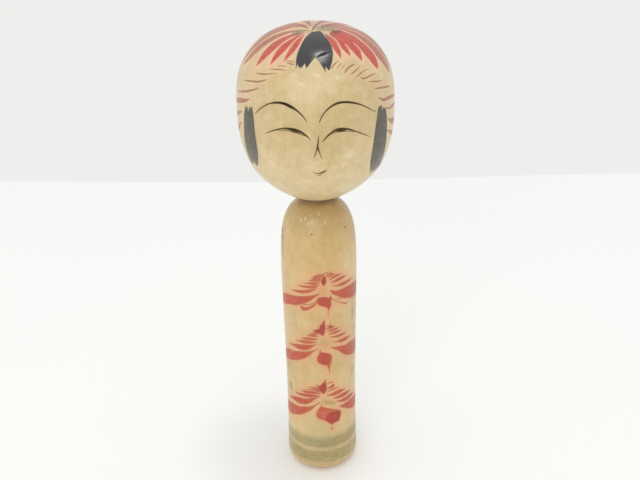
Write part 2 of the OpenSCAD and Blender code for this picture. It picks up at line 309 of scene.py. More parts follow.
            [(-19.07, 78.39, 0.25), (-15.67, 79.31, 1.34), (-12.65, 79.74, 2.74), (-9.53, 80.26, 3.39), (-7.15, 80.91, 3.12), (-4.89, 81.95, 1.8), (-3.06, 82.88, 0.53), (-2.07, 83.51, 0.16)],
            [(-34.57, 67.24, 0.74), (-32.18, 67.43, 2.85), (-28.37, 68.2, 4.37), (-24.07, 69.25, 5.68), (-19.61, 71.36, 6.08), (-14.8, 73.14, 5.39), (-11.08, 74.85, 4.73), (-8.13, 76.29, 3.36), (-5.76, 77.72, 2.08), (-3.76, 79.18, 0.79), (-1.4, 80.41, 0.21)],
            # middle flower, right side
            [(3.09, 92.01, 0.26), (4.24, 92.92, 1.5), (5.71, 93.18, 1.63), (7.31, 93.03, 0.27)],
            [(3.41, 90.67, 0.29), (5.43, 91.2, 1.18), (7.67, 91.54, 1.19), (9.65, 91.66, 0.23)],
            [(4.2, 89.15, 0.27), (6.3, 89.36, 1.39), (8.68, 89.58, 1.71), (10.04, 89.67, 0.87), (10.95, 89.74, 0.22)],
            [(4.87, 87.32, 0.27), (7.18, 86.97, 0.94), (9.54, 86.74, 1.63), (12, 86.9, 1.35), (14.29, 86.89, 0.23)],
            [(5.81, 84.6, 0.26), (8.33, 83.66, 0.53), (10.64, 83.41, 1.85), (13.36, 83.27, 2.29), (15.85, 83.32, 1.21), (17.75, 83.07, 0.24)],
            [(5.23, 81.14, 0.2), (6.84, 80.2, 0.92), (8.92, 79.42, 2), (11.18, 78.48, 3.34), (13.73, 76.93, 5.04), (17.13, 75.86, 7.44), (22.55, 74.01, 8.35), (27.32, 73.15, 7.74), (32.09, 72.39, 6.34), (36.38, 71.82, 3.57), (38.76, 71.63, 0.74)],
            # middle flower, drop
            [(3.99, 69.2, 1.1), (4.37, 67.15, 0.49), (4.46, 64.8, 0.14)],
            [(-0.26, 80.63, 0.19), (-0.17, 78.3, 0.74)],
            # bottom flower, left side
            [(-6.54, 55.94, 0.29), (-4.47, 56.07, 1.02), (-2.26, 55.77, 1.59), (-0.29, 55.18, 1.98)],
            [(-8.5, 54.23, 0.23), (-5.88, 54.64, 0.69), (-3.17, 54.52, 1.16), (-0.53, 54.11, 1.06)],
            [(-11.67, 52.38, 0.31), (-8.8, 52.52, 1.56), (-5.46, 52.84, 1.82), (-2.31, 52.87, 1.3), (-0.2, 52.66, 0.29)],
            [(-15.75, 49.34, 0.34), (-12.62, 49.65, 1.39), (-9.37, 50.18, 1.98), (-5.98, 50.58, 2.02), (-2.79, 51.06, 1.14), (-1.02, 51.32, 0.21)],
            [(-21.84, 42.99, 0.38), (-17.46, 44.48, 2.15), (-13.99, 45.07, 3.74), (-10.55, 45.84, 3.92), (-7.5, 46.85, 3.09), (-4.64, 48.78, 1.76), (-1.92, 50.21, 0.62), (-0.58, 51.05, 0.17)],
            [(-35.58, 32.99, 0.74), (-33.19, 33.18, 3.07), (-28.9, 33.85, 4.57), (-24.13, 34.71, 6.33), (-19.19, 36.77, 6.74), (-15.24, 38.06, 5.8), (-12.08, 39.24, 4.64), (-9.22, 40.86, 3.54), (-6.65, 42.27, 2.47), (-4.55, 43.92, 1.05), (-2.75, 45.52, 0.31), (-0.85, 47.08, 0.21)],
            # bottom flower, right side
            [(2.79, 55, 0.29), (4.36, 55.81, 1.26), (6.12, 56.68, 1.81), (6.41, 57.56, 0.82)],
            [(3.05, 58.38, 0.3), (4.4, 59.1, 0.7), (6, 59.06, 0.46)],
            [(3.21, 53.33, 0.31), (5.26, 54.22, 0.88), (7.38, 54.72, 0.66), (9.11, 55.04, 0.25)],
            [(2.96, 51.22, 0.36), (5.22, 51.17, 1.26), (7.59, 51.59, 2.4), (10.12, 51.9, 2.45), (12.21, 51.84, 1.12), (13.64, 51.78, 0.25)],
            [(6.13, 48.67, 0.3), (8.56, 48.61, 1.44), (11.74, 48.6, 2.49), (14.78, 48.57, 2.15), (17.87, 48.82, 0.32)],
            [(8.04, 46.19, 0.28), (11.15, 45.38, 1.41), (14.24, 44.99, 2.58), (17.7, 44.88, 2.64), (21.97, 44.67, 0.55)],
            [(9.66, 41.96, 0.22), (11.74, 41.54, 1.68), (14.48, 40.89, 3.32), (17.77, 39.78, 5.5), (22.48, 38.43, 7.16), (27.25, 37.95, 6.75), (32.02, 37.38, 5.55), (35.84, 36.9, 3.17), (38.22, 36.71, 0.74)],
            # bottom flower, drop
            [(5.31, 29.54, 0.74), (5.4, 28.55, 0.74)],
            [(5.31, 31.85, 0.19), (5.31, 30.64, 0.19)],
        ],
        "bud": [
            [(2.56, 122.64, 0.3), (2.34, 121.47, 1.98), (2.16, 120.19, 2.75), (2.14, 118.99, 2.24), (2.16, 117.5, 0.39)],
            [(2.25, 97.83, 0.26), (1.64, 95.77, 1.66), (1.11, 93.59, 3.07), (0.91, 91.62, 3.35), (0.97, 89.87, 2.23), (1.15, 88.41, 0.3)],
            [(-3.59, 91.37, 0.28), (-2.33, 91.37, 1.57), (-0.88, 91.27, 2.56), (0.36, 90.9, 2.2)],
            [(2.3, 61.13, 0.33), (1.74, 59.17, 1.67), (1.19, 57.62, 3.08), (0.9, 56.04, 4.19), (1.05, 54.43, 3.1), (1.24, 52.43, 0.43)],
            [(-2.87, 57.86, 0.24), (-1.44, 57.14, 1.17), (0.03, 56.19, 2.5)],
        ],
        "drop": [
            [(-0.24, 111.12), (1.37, 111.32), (3.26, 110.97), (5.05, 110.5), (5.53, 108.52), (5.81, 106.65), (5.53, 105.02), (4.86, 104.02), (4.3, 102.8), (3.82, 104.06), (2.97, 105.12), (1.37, 105.77), (-0.43, 106.6), (-1, 108.04), (-0.9, 109.68)],
            [(-0.45, 78.62), (1.63, 78.4), (3.52, 77.82), (4.75, 77.14), (5.51, 75.52), (5.51, 73.6), (5.04, 71.71), (4.37, 69.82), (3.99, 68.66), (3.43, 69.75), (2.01, 70.32), (0.3, 70.98), (-1.21, 71.93), (-1.97, 73.4), (-1.97, 75), (-1.21, 76.92)],
        ],
        "dark": [
            [(1.71, 123.99, 0.15), (3.32, 124.56, 0.32), (4.96, 124.91, 0.15)],
            [(0.82, 123.32, 0.15), (2.5, 124.01, 0.28), (4.13, 124.36, 0.15)],
            [(-1.03, 109.21, 0.32), (-0.92, 110.64, 0.24)],
            [(-0.88, 112.73, 0.26), (-1.49, 112.16, 0.22)],
            [(5.51, 108.91, 0.38), (5.44, 110.83, 0.29)],
            [(-14.65, 112.61, 0.26), (-13.24, 112.77, 0.2)],
            [(2.48, 93.87, 0.2), (3.75, 94.29, 0.4), (5.46, 94.37, 0.3)],
            [(5.12, 95.03, 0.15), (5.28, 93.52, 0.27), (4.79, 92.23, 0.19)],
            [(-1.24, 94.14, 0.15), (-1.35, 92.4, 0.21)],
            [(-3.57, 91.92, 0.15), (-1.28, 91.86, 0.3)],
            [(-0.49, 78.05, 0.3), (-0.42, 79.58, 0.17)],
            [(2.38, 70.03, 0.17), (2.38, 67.42, 0.15)],
            [(5.3, 76.62, 0.26), (5.63, 72.67, 0.37), (4.56, 68.75, 0.38)],
            [(5.48, 96.19, 0.15), (4.94, 94.67, 0.18)],
            [(0.21, 45.84, 0.37), (-0.48, 44.23, 0.23)],
            [(-1.1, 46.94, 0.34), (-4.29, 44.06, 0.28)],
            [(1.76, 60.76, 0.24), (2.44, 61.74, 0.15)],
            [(4.05, 32.81, 0.41), (5.9, 31.83, 0.3)],
            [(2.73, 50.93, 0.27), (3.63, 51.01, 0.22)],
        ],
        "area": [
            [(-0.47, 44.47), (-2.28, 41.6), (-3.23, 39.05), (-2.38, 36.67), (-0.1, 35.49), (1.89, 34.49), (3.32, 33.25), (5.4, 32.07), (7.58, 32.48), (9.57, 32.76), (10.61, 35.84), (10.8, 38.24), (9.95, 39.85), (6.73, 41.53), (2.37, 43.25)],
        ],
        "coat": [
            [(1.89, 35.92), (2.27, 37.67), (3.98, 39.48), (7.01, 39.98), (10.89, 38.99), (10.9, 35.81), (9.76, 32.52), (7.58, 32.15), (5.4, 31.74), (3.13, 32.93), (1.99, 34.38)],
        ],
        "green": [
            [(-0.47, 48.06), (1.24, 49.25), (4.17, 48.64), (7.1, 46.74), (8.05, 44.17), (5.31, 44.12), (1.8, 44.89), (-0.47, 46.21)],
        ],
    },
}

# ---------------------------------------------------------------------------
# Brush strokes as distance fields
# ---------------------------------------------------------------------------


def smooth_stroke(points):
    """The stroke's points, joined by a smooth curve, with the width as third."""
    p = np.array(points, float)
    if len(p) < 3:
        return p
    q = np.vstack([2 * p[0] - p[1], p, 2 * p[-1] - p[-2]])
    out = []
    for i in range(len(p) - 1):
        a, b, c, d = q[i:i + 4]
        steps = max(2, int(np.hypot(*(c - b)[:2]) / 0.5))
        for k in range(steps):
            t = k / steps
            out.append(0.5 * (2 * b + (c - a) * t + (2 * a - 5 * b + 4 * c - d) * t * t
                              + (3 * b - a - 3 * c + d) * t ** 3))
    out.append(p[-1])
    out = np.array(out)
    out[:, 2] = np.maximum(out[:, 2], 0.08)
    return out


def smooth_area(points):
    """A closed outline that is smooth except at its sharp corners."""
    p = np.array(points, float)
    n = len(p)
    tangent = np.zeros_like(p)
    sharp = np.zeros(n, bool)
    for i in range(n):
        a, b, c = p[i - 1], p[i], p[(i + 1) % n]
        u, v = b - a, c - b
        cosine = u @ v / (np.hypot(*u) * np.hypot(*v))
        sharp[i] = cosine < 0.72
        tangent[i] = (c - a) / 2
    out = []
    for i in range(n):
        b, c = p[i], p[(i + 1) % n]
        tb = (c - b) if sharp[i] else tangent[i]
        tc = (c - b) if sharp[(i + 1) % n] else tangent[(i + 1) % n]
        steps = max(1, int(np.hypot(*(c - b)) / 0.5))
        for k in range(steps):
            t = k / steps
            out.append((2 * t ** 3 - 3 * t * t + 1) * b + (t ** 3 - 2 * t * t + t) * tb
                       + (-2 * t ** 3 + 3 * t * t) * c + (t ** 3 - t * t) * tc)
    return np.array(out)


FAR = 9.0      # distance given to a point that no stroke is near, in mm


class Stroke:
    """One brushed stroke. Its field is negative inside the paint."""

    def __init__(self, points, seed):
        self.p = smooth_stroke(points)
        self.seed = seed
        r = self.p[:, 2].max() / 2
        self.lo = self.p[:, :2].min(0) - r
        self.hi = self.p[:, :2].max(0) + r

    def field(self, q):
        best = np.full(len(q), FAR)
        along = np.zeros(len(q))
        across = np.zeros(len(q))
        half = np.full(len(q), 0.1)
        run = 0.0
        for a, b in zip(self.p[:-1], self.p[1:]):
            d = b[:2] - a[:2]
            length = math.hypot(d[0], d[1]) + 1e-9
            rel = q - a[:2]
            t = np.clip((rel @ d) / (length * length), 0, 1)
            r = (a[2] + t * (b[2] - a[2])) / 2
            off = rel - t[:, None] * d
            dist = np.hypot(off[:, 0], off[:, 1]) - r
            win = dist < best
            best[win] = dist[win]
            along[win] = run + t[win] * length
            side = (rel[win, 0] * d[1] - rel[win, 1] * d[0]) / length
            across[win] = side
            half[win] = r[win]
            run += length
        return best, along, across, half


class Area:
    """One painted area with a closed outline."""

    def __init__(self, points, seed):
        self.p = smooth_area(points)
        self.seed = seed
        self.lo, self.hi = self.p.min(0), self.p.max(0)

    def field(self, q):
        best = np.full(len(q), FAR)
        inside = np.zeros(len(q), bool)
        for i in range(len(self.p)):
            a, b = self.p[i], self.p[(i + 1) % len(self.p)]
            d = b - a
            rel = q - a
            t = np.clip((rel @ d) / (d @ d + 1e-12), 0, 1)
            off = rel - t[:, None] * d
            best = np.minimum(best, np.hypot(off[:, 0], off[:, 1]))
            crosses = (a[1] > q[:, 1]) != (b[1] > q[:, 1])
            if abs(d[1]) > 1e-12:
                x = a[0] + (q[:, 1] - a[1]) * d[0] / d[1]
                inside ^= crosses & (q[:, 0] < x)
        return np.where(inside, -best, best), q[:, 1].copy(), q[:, 0].copy(), np.full(len(q), 3.0)


LAYERS = {}
number = 0
for chart, groups in PAINT.items():
    LAYERS[chart] = {}
    for group, items in groups.items():
        made = []
        for points in items:
            number += 1
            seed = math.modf(number * 0.618034)[0]
            made.append((Stroke if len(points[0]) == 3 else Area)(points, seed))
        LAYERS[chart][group] = made


def layer_field(chart, group, q, reach):
    """The nearest paint of one group: its distance, brush direction and seed."""
    best = np.full(len(q), FAR)
    along = np.zeros(len(q))
    across = np.zeros(len(q))
    half = np.full(len(q), 1.0)
    seed = np.zeros(len(q))
    for item in LAYERS[chart].get(group, []):
        near = np.all((q > item.lo - reach) & (q < item.hi + reach), axis=1)
        if not near.any():
            continue
        d, u, v, h = item.field(q[near])
        index = np.nonzero(near)[0]
        win = d < best[near]
        index = index[win]
        best[index] = d[win]
        along[index] = u[win]
        across[index] = v[win]
        half[index] = h[win]
        seed[index] = item.seed
    return best, along, across, half, seed


# How far the dye of each crown petal has turned from crimson to brown, in the
# order of the table
BROWN = [1.0, 0.15, 0.0, 0.1, 0.05, 0.0, 0.0, 0.05, 0.75, 0.75, 0.6, 0.5, 0.5, 0.5, 0.5,
         0.65, 0.9]


def brown_values(seed):
    out = np.zeros(len(seed))
    for item, value in zip(LAYERS["crown"]["red"], BROWN):
        out[np.abs(seed - item.seed) < 1e-9] = value
    return out


def cover(distance, soft):
    """Paint coverage from 0 to 1 across an edge that is 2 * soft wide."""
    t = np.clip(0.5 - distance / (2 * soft), 0, 1)
    return t * t * (3 - 2 * t)


def ink_values(chart, q):
    """Every painting value at points of one chart."""
    n = len(q)
    zero = np.zeros(n)
    out = {"red": zero.copy(), "depth": zero.copy(), "coat": zero.copy(),
           "green": zero.copy(), "black": zero.copy(), "line": zero.copy(),
           "dry": zero.copy(), "blush": zero.copy(), "along": zero.copy(),
           "across": zero.copy(), "seed": zero.copy(), "brown": zero.copy(),
           "gash": zero.copy()}
    if chart == "crown":
        d, u, v, h, s = layer_field(chart, "red", q, 3)
        gap = layer_field(chart, "gap", q, 1)[0]
        d = np.maximum(d, -gap)
        out["red"] = cover(d, 0.22)
        out["depth"] = np.clip(-d, 0, 2)
        out["along"], out["across"], out["seed"] = u, v, s
        out["brown"] = np.clip(brown_values(s) * (0.62 + u / 38), 0, 1)
        fade = np.clip((5 - d) / 2, 0, 1)
        out["blush"] = 0.95 * np.exp(-np.clip(d, 0, 9) / 1.3) * fade * (1 - 0.6 * out["brown"])
        d = layer_field(chart, "green", q, 3)[0]
        out["green"] = cover(d + 0.4, 1.3)
        d = layer_field(chart, "olive", q, 1)[0]
        out["dry"] = cover(d, 0.25)
        d, u, v, h, s = layer_field(chart, "black", q, 1)
        out["black"] = cover(d, 0.16)
        inside = d < 0.4
        out["along"][inside], out["across"][inside] = -q[inside, 1], q[inside, 0]
        out["gash"] = cover(layer_field(chart, "gash", q, 1)[0], 0.25)
        out["depth"][inside] = np.clip(-d[inside], 0, 2)
    elif chart == "face":
        d, u, v, h, s = layer_field(chart, "temple", q, 2)
        press = np.clip((h - 0.24) / 0.34, 0, 1)
        out["red"] = cover(d, 0.16) * press * 0.9
        out["brown"] = 0.90 - 0.35 * (np.abs(q[:, 0]) < 32)
        out["depth"] = np.clip(-d, 0, 2)
        out["blush"] = 0.40 * np.exp(-np.clip(d, 0, 9) / 0.8) * (d < 4)
        out["along"], out["across"], out["seed"] = u, v, s
        temple_ink = out["red"] / 0.9, cover(d, 0.16)
        d, u, v, h, s = layer_field(chart, "line", q, 1)
        line = cover(d - 0.04, 0.12) * np.clip(0.72 + 0.5 * h, 0, 1)
        d2, u2, v2, h2, s2 = layer_field(chart, "fine", q, 1)
        line = np.maximum(line, cover(d2, 0.11) * np.clip(0.55 + 0.6 * h2, 0, 0.97))
        out["line"] = line
        d, u, v, h, s = layer_field(chart, "lip", q, 1)
        out["dry"] = cover(d, 0.12) * np.clip(0.65 + 0.9 * h, 0, 1)
        out["dry"] = np.maximum(out["dry"], temple_ink[1] * (1 - 0.75 * temple_ink[0]) * 0.95)
        d, u, v, h, s = layer_field(chart, "lock", q, 1)
        out["black"] = cover(d, 0.2)
        inside = d < 0.5
        out["along"][inside], out["across"][inside] = q[inside, 1], q[inside, 0]
    else:
        d, u, v, h, s = layer_field(chart, "red", q, 3)
        rich = cover(layer_field(chart, "coat", q, 1)[0], 0.3) * 0.85
        for group, weight in (("bud", 0.95), ("drop", 0.5), ("area", 0.0)):
            d2, u2, v2, h2, s2 = layer_field(chart, group, q, 3)
            win = d2 < d
            d = np.minimum(d, d2)
            u, v, s = np.where(win, u2, u), np.where(win, v2, v), np.where(win, s2, s)
            rich = np.maximum(rich, cover(d2, 0.3) * weight)
        pale = (d2 < 0) & (rich < 0.2)
        out["red"] = cover(d, 0.16)
        out["depth"] = np.clip(-d, 0, np.where(pale, 0.42, 2.0))
        out["brown"] = 0.55 * np.clip((q[:, 0] - 15) / 6, 0, 1) * (q[:, 1] > 66)
        fade = np.clip((5 - d) / 2, 0, 1)
        out["blush"] = 0.86 * np.exp(-np.clip(d, 0, 9) / 1.8) * fade
        out["along"], out["across"], out["seed"] = u, v, s
        out["coat"] = rich
        out["green"] = cover(layer_field(chart, "green", q, 3)[0] + 0.6, 1.3)
        out["dry"] = cover(layer_field(chart, "dark", q, 1)[0], 0.16)
    return out


# ---------------------------------------------------------------------------
# Mesh building
# ---------------------------------------------------------------------------


def new_object(name, verts, faces):
    mesh = bpy.data.meshes.new(name)
    mesh.from_pydata(verts.tolist() if hasattr(verts, "tolist") else verts, [], faces)
    mesh.update()
    obj = bpy.data.objects.new(name, mesh)
    scene.collection.objects.link(obj)
    mesh.polygons.foreach_set("use_smooth", np.ones(len(mesh.polygons), bool))
    return obj


def point_values(mesh, values):
    for key, data in values.items():
        layer = mesh.attributes.new(key, "FLOAT", "POINT")
        layer.data.foreach_set("value", np.asarray(data, np.float32))


def film(name, chart, groups, step, margin=0.2, lift=0.02, low=None, high=None):
    """A dye film over all strokes of the named groups that lie in low..high.

    A regular grid in the chart is cut along the line that runs margin mm
    outside the strokes, and closed below into a thin sheet.
    """
    items = []
    for group in groups:
        for item in LAYERS[chart][group]:
            middle = (item.lo + item.hi) / 2
            if low is not None and np.any(middle < low):
                continue
            if high is not None and np.any(middle > high):
                continue
            items.append(item)
    lo = np.min([i.lo for i in items], 0) - margin - 2 * step
    hi = np.max([i.hi for i in items], 0) + margin + 2 * step
    nx, ny = (np.ceil((hi - lo) / step)).astype(int) + 1
    gx = lo[0] + step * np.arange(nx)
    gy = lo[1] + step * np.arange(ny)
    grid = np.stack(np.meshgrid(gx, gy, indexing="ij"), -1).reshape(-1, 2)
    field = np.full(len(grid), FAR)
    reach = margin + 2 * step
    for item in items:
        i0, j0 = np.floor((item.lo - reach - lo) / step).astype(int).clip(0)
        i1, j1 = np.ceil((item.hi + reach - lo) / step).astype(int)
        ii, jj = np.meshgrid(np.arange(i0, min(i1 + 1, nx)), np.arange(j0, min(j1 + 1, ny)), indexing="ij")
        index = (ii * ny + jj).ravel()
        field[index] = np.minimum(field[index], item.field(grid[index])[0])
    field -= margin
    field[np.abs(field) < 0.12 * step] = -0.12 * step
    inside = field < 0
    corner = (np.arange(nx - 1)[:, None] * ny + np.arange(ny - 1)).ravel()
    cells = np.stack([corner, corner + ny, corner + ny + 1, corner + 1], -1)
    count = inside[cells].sum(1)
    full = cells[count == 4]
    faces = [tuple(f) for f in full.tolist()]
    points = list(map(tuple, grid))
    cut = {}

    def crossing(a, b):
        key = (a, b) if a < b else (b, a)
        if key not in cut:
            fa, fb = field[key[0]], field[key[1]]
            t = min(max(fa / (fa - fb), 0.12), 0.88)
            pa, pb = grid[key[0]], grid[key[1]]
            cut[key] = len(points)
            points.append((pa[0] + t * (pb[0] - pa[0]), pa[1] + t * (pb[1] - pa[1])))
        return cut[key]

    for cell in cells[(count > 0) & (count < 4)].tolist():
        state = [bool(inside[c]) for c in cell]
        if state in ([True, False, True, False], [False, True, False, True]):
            # two opposite corners: one small corner piece for each
            for k in range(4):
                if state[k]:
                    faces.append((cell[k], crossing(cell[k], cell[(k + 1) % 4]),
                                  crossing(cell[k], cell[k - 1])))
            continue
        ring = []
        for k in range(4):
            a, b = cell[k], cell[(k + 1) % 4]
            if state[k]:
                ring.append(a)
            if state[k] != state[(k + 1) % 4]:
                ring.append(crossing(a, b))
        faces.append(tuple(ring))
    used = np.unique(np.concatenate([np.array(f) for f in faces]))
    renumber = np.full(len(points), -1)
    renumber[used] = np.arange(len(used))
    q = np.array(points)[used]
    faces = [tuple(int(renumber[i]) for i in f) for f in faces]
    # the chart may turn the faces inside out; look at the first one
    top, normal = PLACES[chart](q, lift)
    a, b, c = (top[i] for i in faces[0][:3])
    if np.cross(b - a, c - a) @ normal[faces[0][0]] < 0:
        faces = [f[::-1] for f in faces]
    under, _ = PLACES[chart](q, -0.04)
    n = len(q)
    edges = {}
    for f in faces:
        for i in range(len(f)):
            a, b = f[i], f[(i + 1) % len(f)]
            if (b, a) in edges:
                del edges[(b, a)]
            else:
                edges[(a, b)] = True
    walls = [(b, a, a + n, b + n) for a, b in edges]
    bottom = [tuple(i + n for i in reversed(f)) for f in faces]
    obj = new_object(name, np.vstack([top, under]) * MM, faces + walls + bottom)
    values = ink_values(chart, q)
    point_values(obj.data, {k: np.concatenate([v, v]) for k, v in values.items()})
    # the film shades exactly as the turned surface under it
    both = np.vstack([normal, -normal])
    loops = np.zeros(len(obj.data.loops), int)
    obj.data.loops.foreach_get("vertex_index", loops)
    shade = both[loops]
    start = sum(len(f) for f in faces)
    end = start + 4 * len(walls)
    flat = np.zeros((len(obj.data.polygons), 3))
    obj.data.polygons.foreach_get("normal", flat.ravel())
    polygon_of = np.repeat(np.arange(len(obj.data.polygons)),
                           [len(f) for f in faces + walls + bottom])
    shade[start:end] = flat[polygon_of[start:end]]
    obj.data.normals_split_custom_set(shade.tolist())
    return obj


def turned(name, rings, segments):
    """A closed turned solid from (r, z) rings, axis point to axis point."""
    verts = []
    start = []
    for r, z in rings:
        start.append(len(verts))
        if r < 1e-6:
            verts.append((0.0, 0.0, z))
        else:
            for k in range(segments):
                a = 2 * math.pi * k / segments
                verts.append((r * math.sin(a), -r * math.cos(a), z))
    faces = []
    for i in range(len(rings) - 1):
        a, b = start[i], start[i + 1]
        ra, rb = rings[i][0], rings[i + 1][0]
        for k in range(segments):
            m = (k + 1) % segments
            if ra < 1e-6:
                faces.append((a, b + k, b + m))
            elif rb < 1e-6:
                faces.append((a + k, b, a + m))
            else:
                faces.append((a + k, b + k, b + m, a + m))
    obj = new_object(name, np.array(verts) * MM, faces)
    return obj, np.array(verts)


def spaced(outline, first, last, gap):
    """(r, z) rings along an outline between two arc lengths, gap mm apart."""
    count = max(1, int(round((last - first) / gap)))
    r, z, _, _ = outline.at(np.linspace(first, last, count + 1))
    return list(zip(r.tolist(), z.tolist()))


def eased(rings, where, size):
    """Rounds the corner at ring index where over size mm, with three rings."""
    a, b, c = (np.array(rings[i]) for i in (where - 1, where, where + 1))
    u = (a - b) / np.hypot(*(a - b))
    v = (c - b) / np.hypot(*(c - b))
    p, q = b + u * size, b + v * size
    middle = 0.25 * p + 0.5 * b + 0.25 * q
    m1 = 0.5625 * p + 0.375 * b + 0.0625 * q
    m2 = 0.0625 * p + 0.375 * b + 0.5625 * q
    return rings[:where] + [tuple(x.tolist()) for x in (p, m1, middle, m2, q)] + rings[where + 1:]


# ---------------------------------------------------------------------------
# Materials
# ---------------------------------------------------------------------------


class Nodes:
    """A short way of writing node trees."""

    def __init__(self, tree):
        self.tree = tree

    def make(self, kind, inputs=None, **props):
        node = self.tree.nodes.new(kind)
        for key, value in props.items():
            setattr(node, key, value)
        for key, value in (inputs or {}).items():
            socket = node.inputs[key]
            if isinstance(value, bpy.types.NodeSocket):
                self.tree.links.new(value, socket)
            else:
                socket.default_value = value
        return node

    def math(self, operation, a, b=0.0, c=None, clamp=False):
        inputs = {0: a, 1: b}
        if c is not None:
            inputs[2] = c
        return self.make("ShaderNodeMath", inputs, operation=operation, use_clamp=clamp).outputs[0]

    def vector(self, operation, a, b=(0, 0, 0), scale=None):
        inputs = {0: a, 1: b}
        if scale is not None:
            inputs["Scale"] = scale
        node = self.make("ShaderNodeVectorMath", inputs, operation=operation)
        return node.outputs["Value"] if operation in ("LENGTH", "DOT_PRODUCT", "DISTANCE") else node.outputs[0]

    def noise(self, vector, scale, detail=2.0, rough=0.5, distortion=0.0):
        node = self.make("ShaderNodeTexNoise",
                         {"Vector": vector, "Scale": scale, "Detail": detail,
                          "Roughness": rough, "Distortion": distortion})
        return node.outputs["Fac"]

    def span(self, value, low, high, to_low=0.0, to_high=1.0, smooth=False):
        return self.make("ShaderNodeMapRange",
                         {"Value": value, "From Min": low, "From Max": high,
                          "To Min": to_low, "To Max": to_high},
                         interpolation_type="SMOOTHSTEP" if smooth else "LINEAR").outputs[0]

    def mix(self, factor, a, b, blend="MIX"):
        node = self.make("ShaderNodeMix", data_type="RGBA", blend_type=blend)
        for socket, value in ((node.inputs[0], factor), (node.inputs[6], a), (node.inputs[7], b)):
            if isinstance(value, bpy.types.NodeSocket):
                self.tree.links.new(value, socket)
            else:
                socket.default_value = value if not isinstance(value, tuple) else (*value, 1.0)[:4]
        return node.outputs[2]

    def lerp(self, factor, a, b):
        return self.math("ADD", self.math("MULTIPLY", self.math("SUBTRACT", 1.0, factor), a),
                         self.math("MULTIPLY", factor, b))

    def tint(self, color, factor, tint):
        """color with the tint multiplied in, by factor."""
        return self.mix(factor, color, tint, "MULTIPLY")

    def value(self, name):
        return self.make("ShaderNodeAttribute", attribute_name=name,
                         attribute_type="GEOMETRY").outputs["Fac"]

    def spot(self, place, centre, size, inner=0.35):
        """1 in a soft ellipsoid round a point, 0 outside it. Sizes in mm."""
        offset = self.vector("SUBTRACT", place, tuple(c * MM for c in centre))
        offset = self.vector("DIVIDE", offset, tuple(c * MM for c in size))
        return self.span(self.vector("LENGTH", offset), inner, 1.0, 1.0, 0.0, smooth=True)


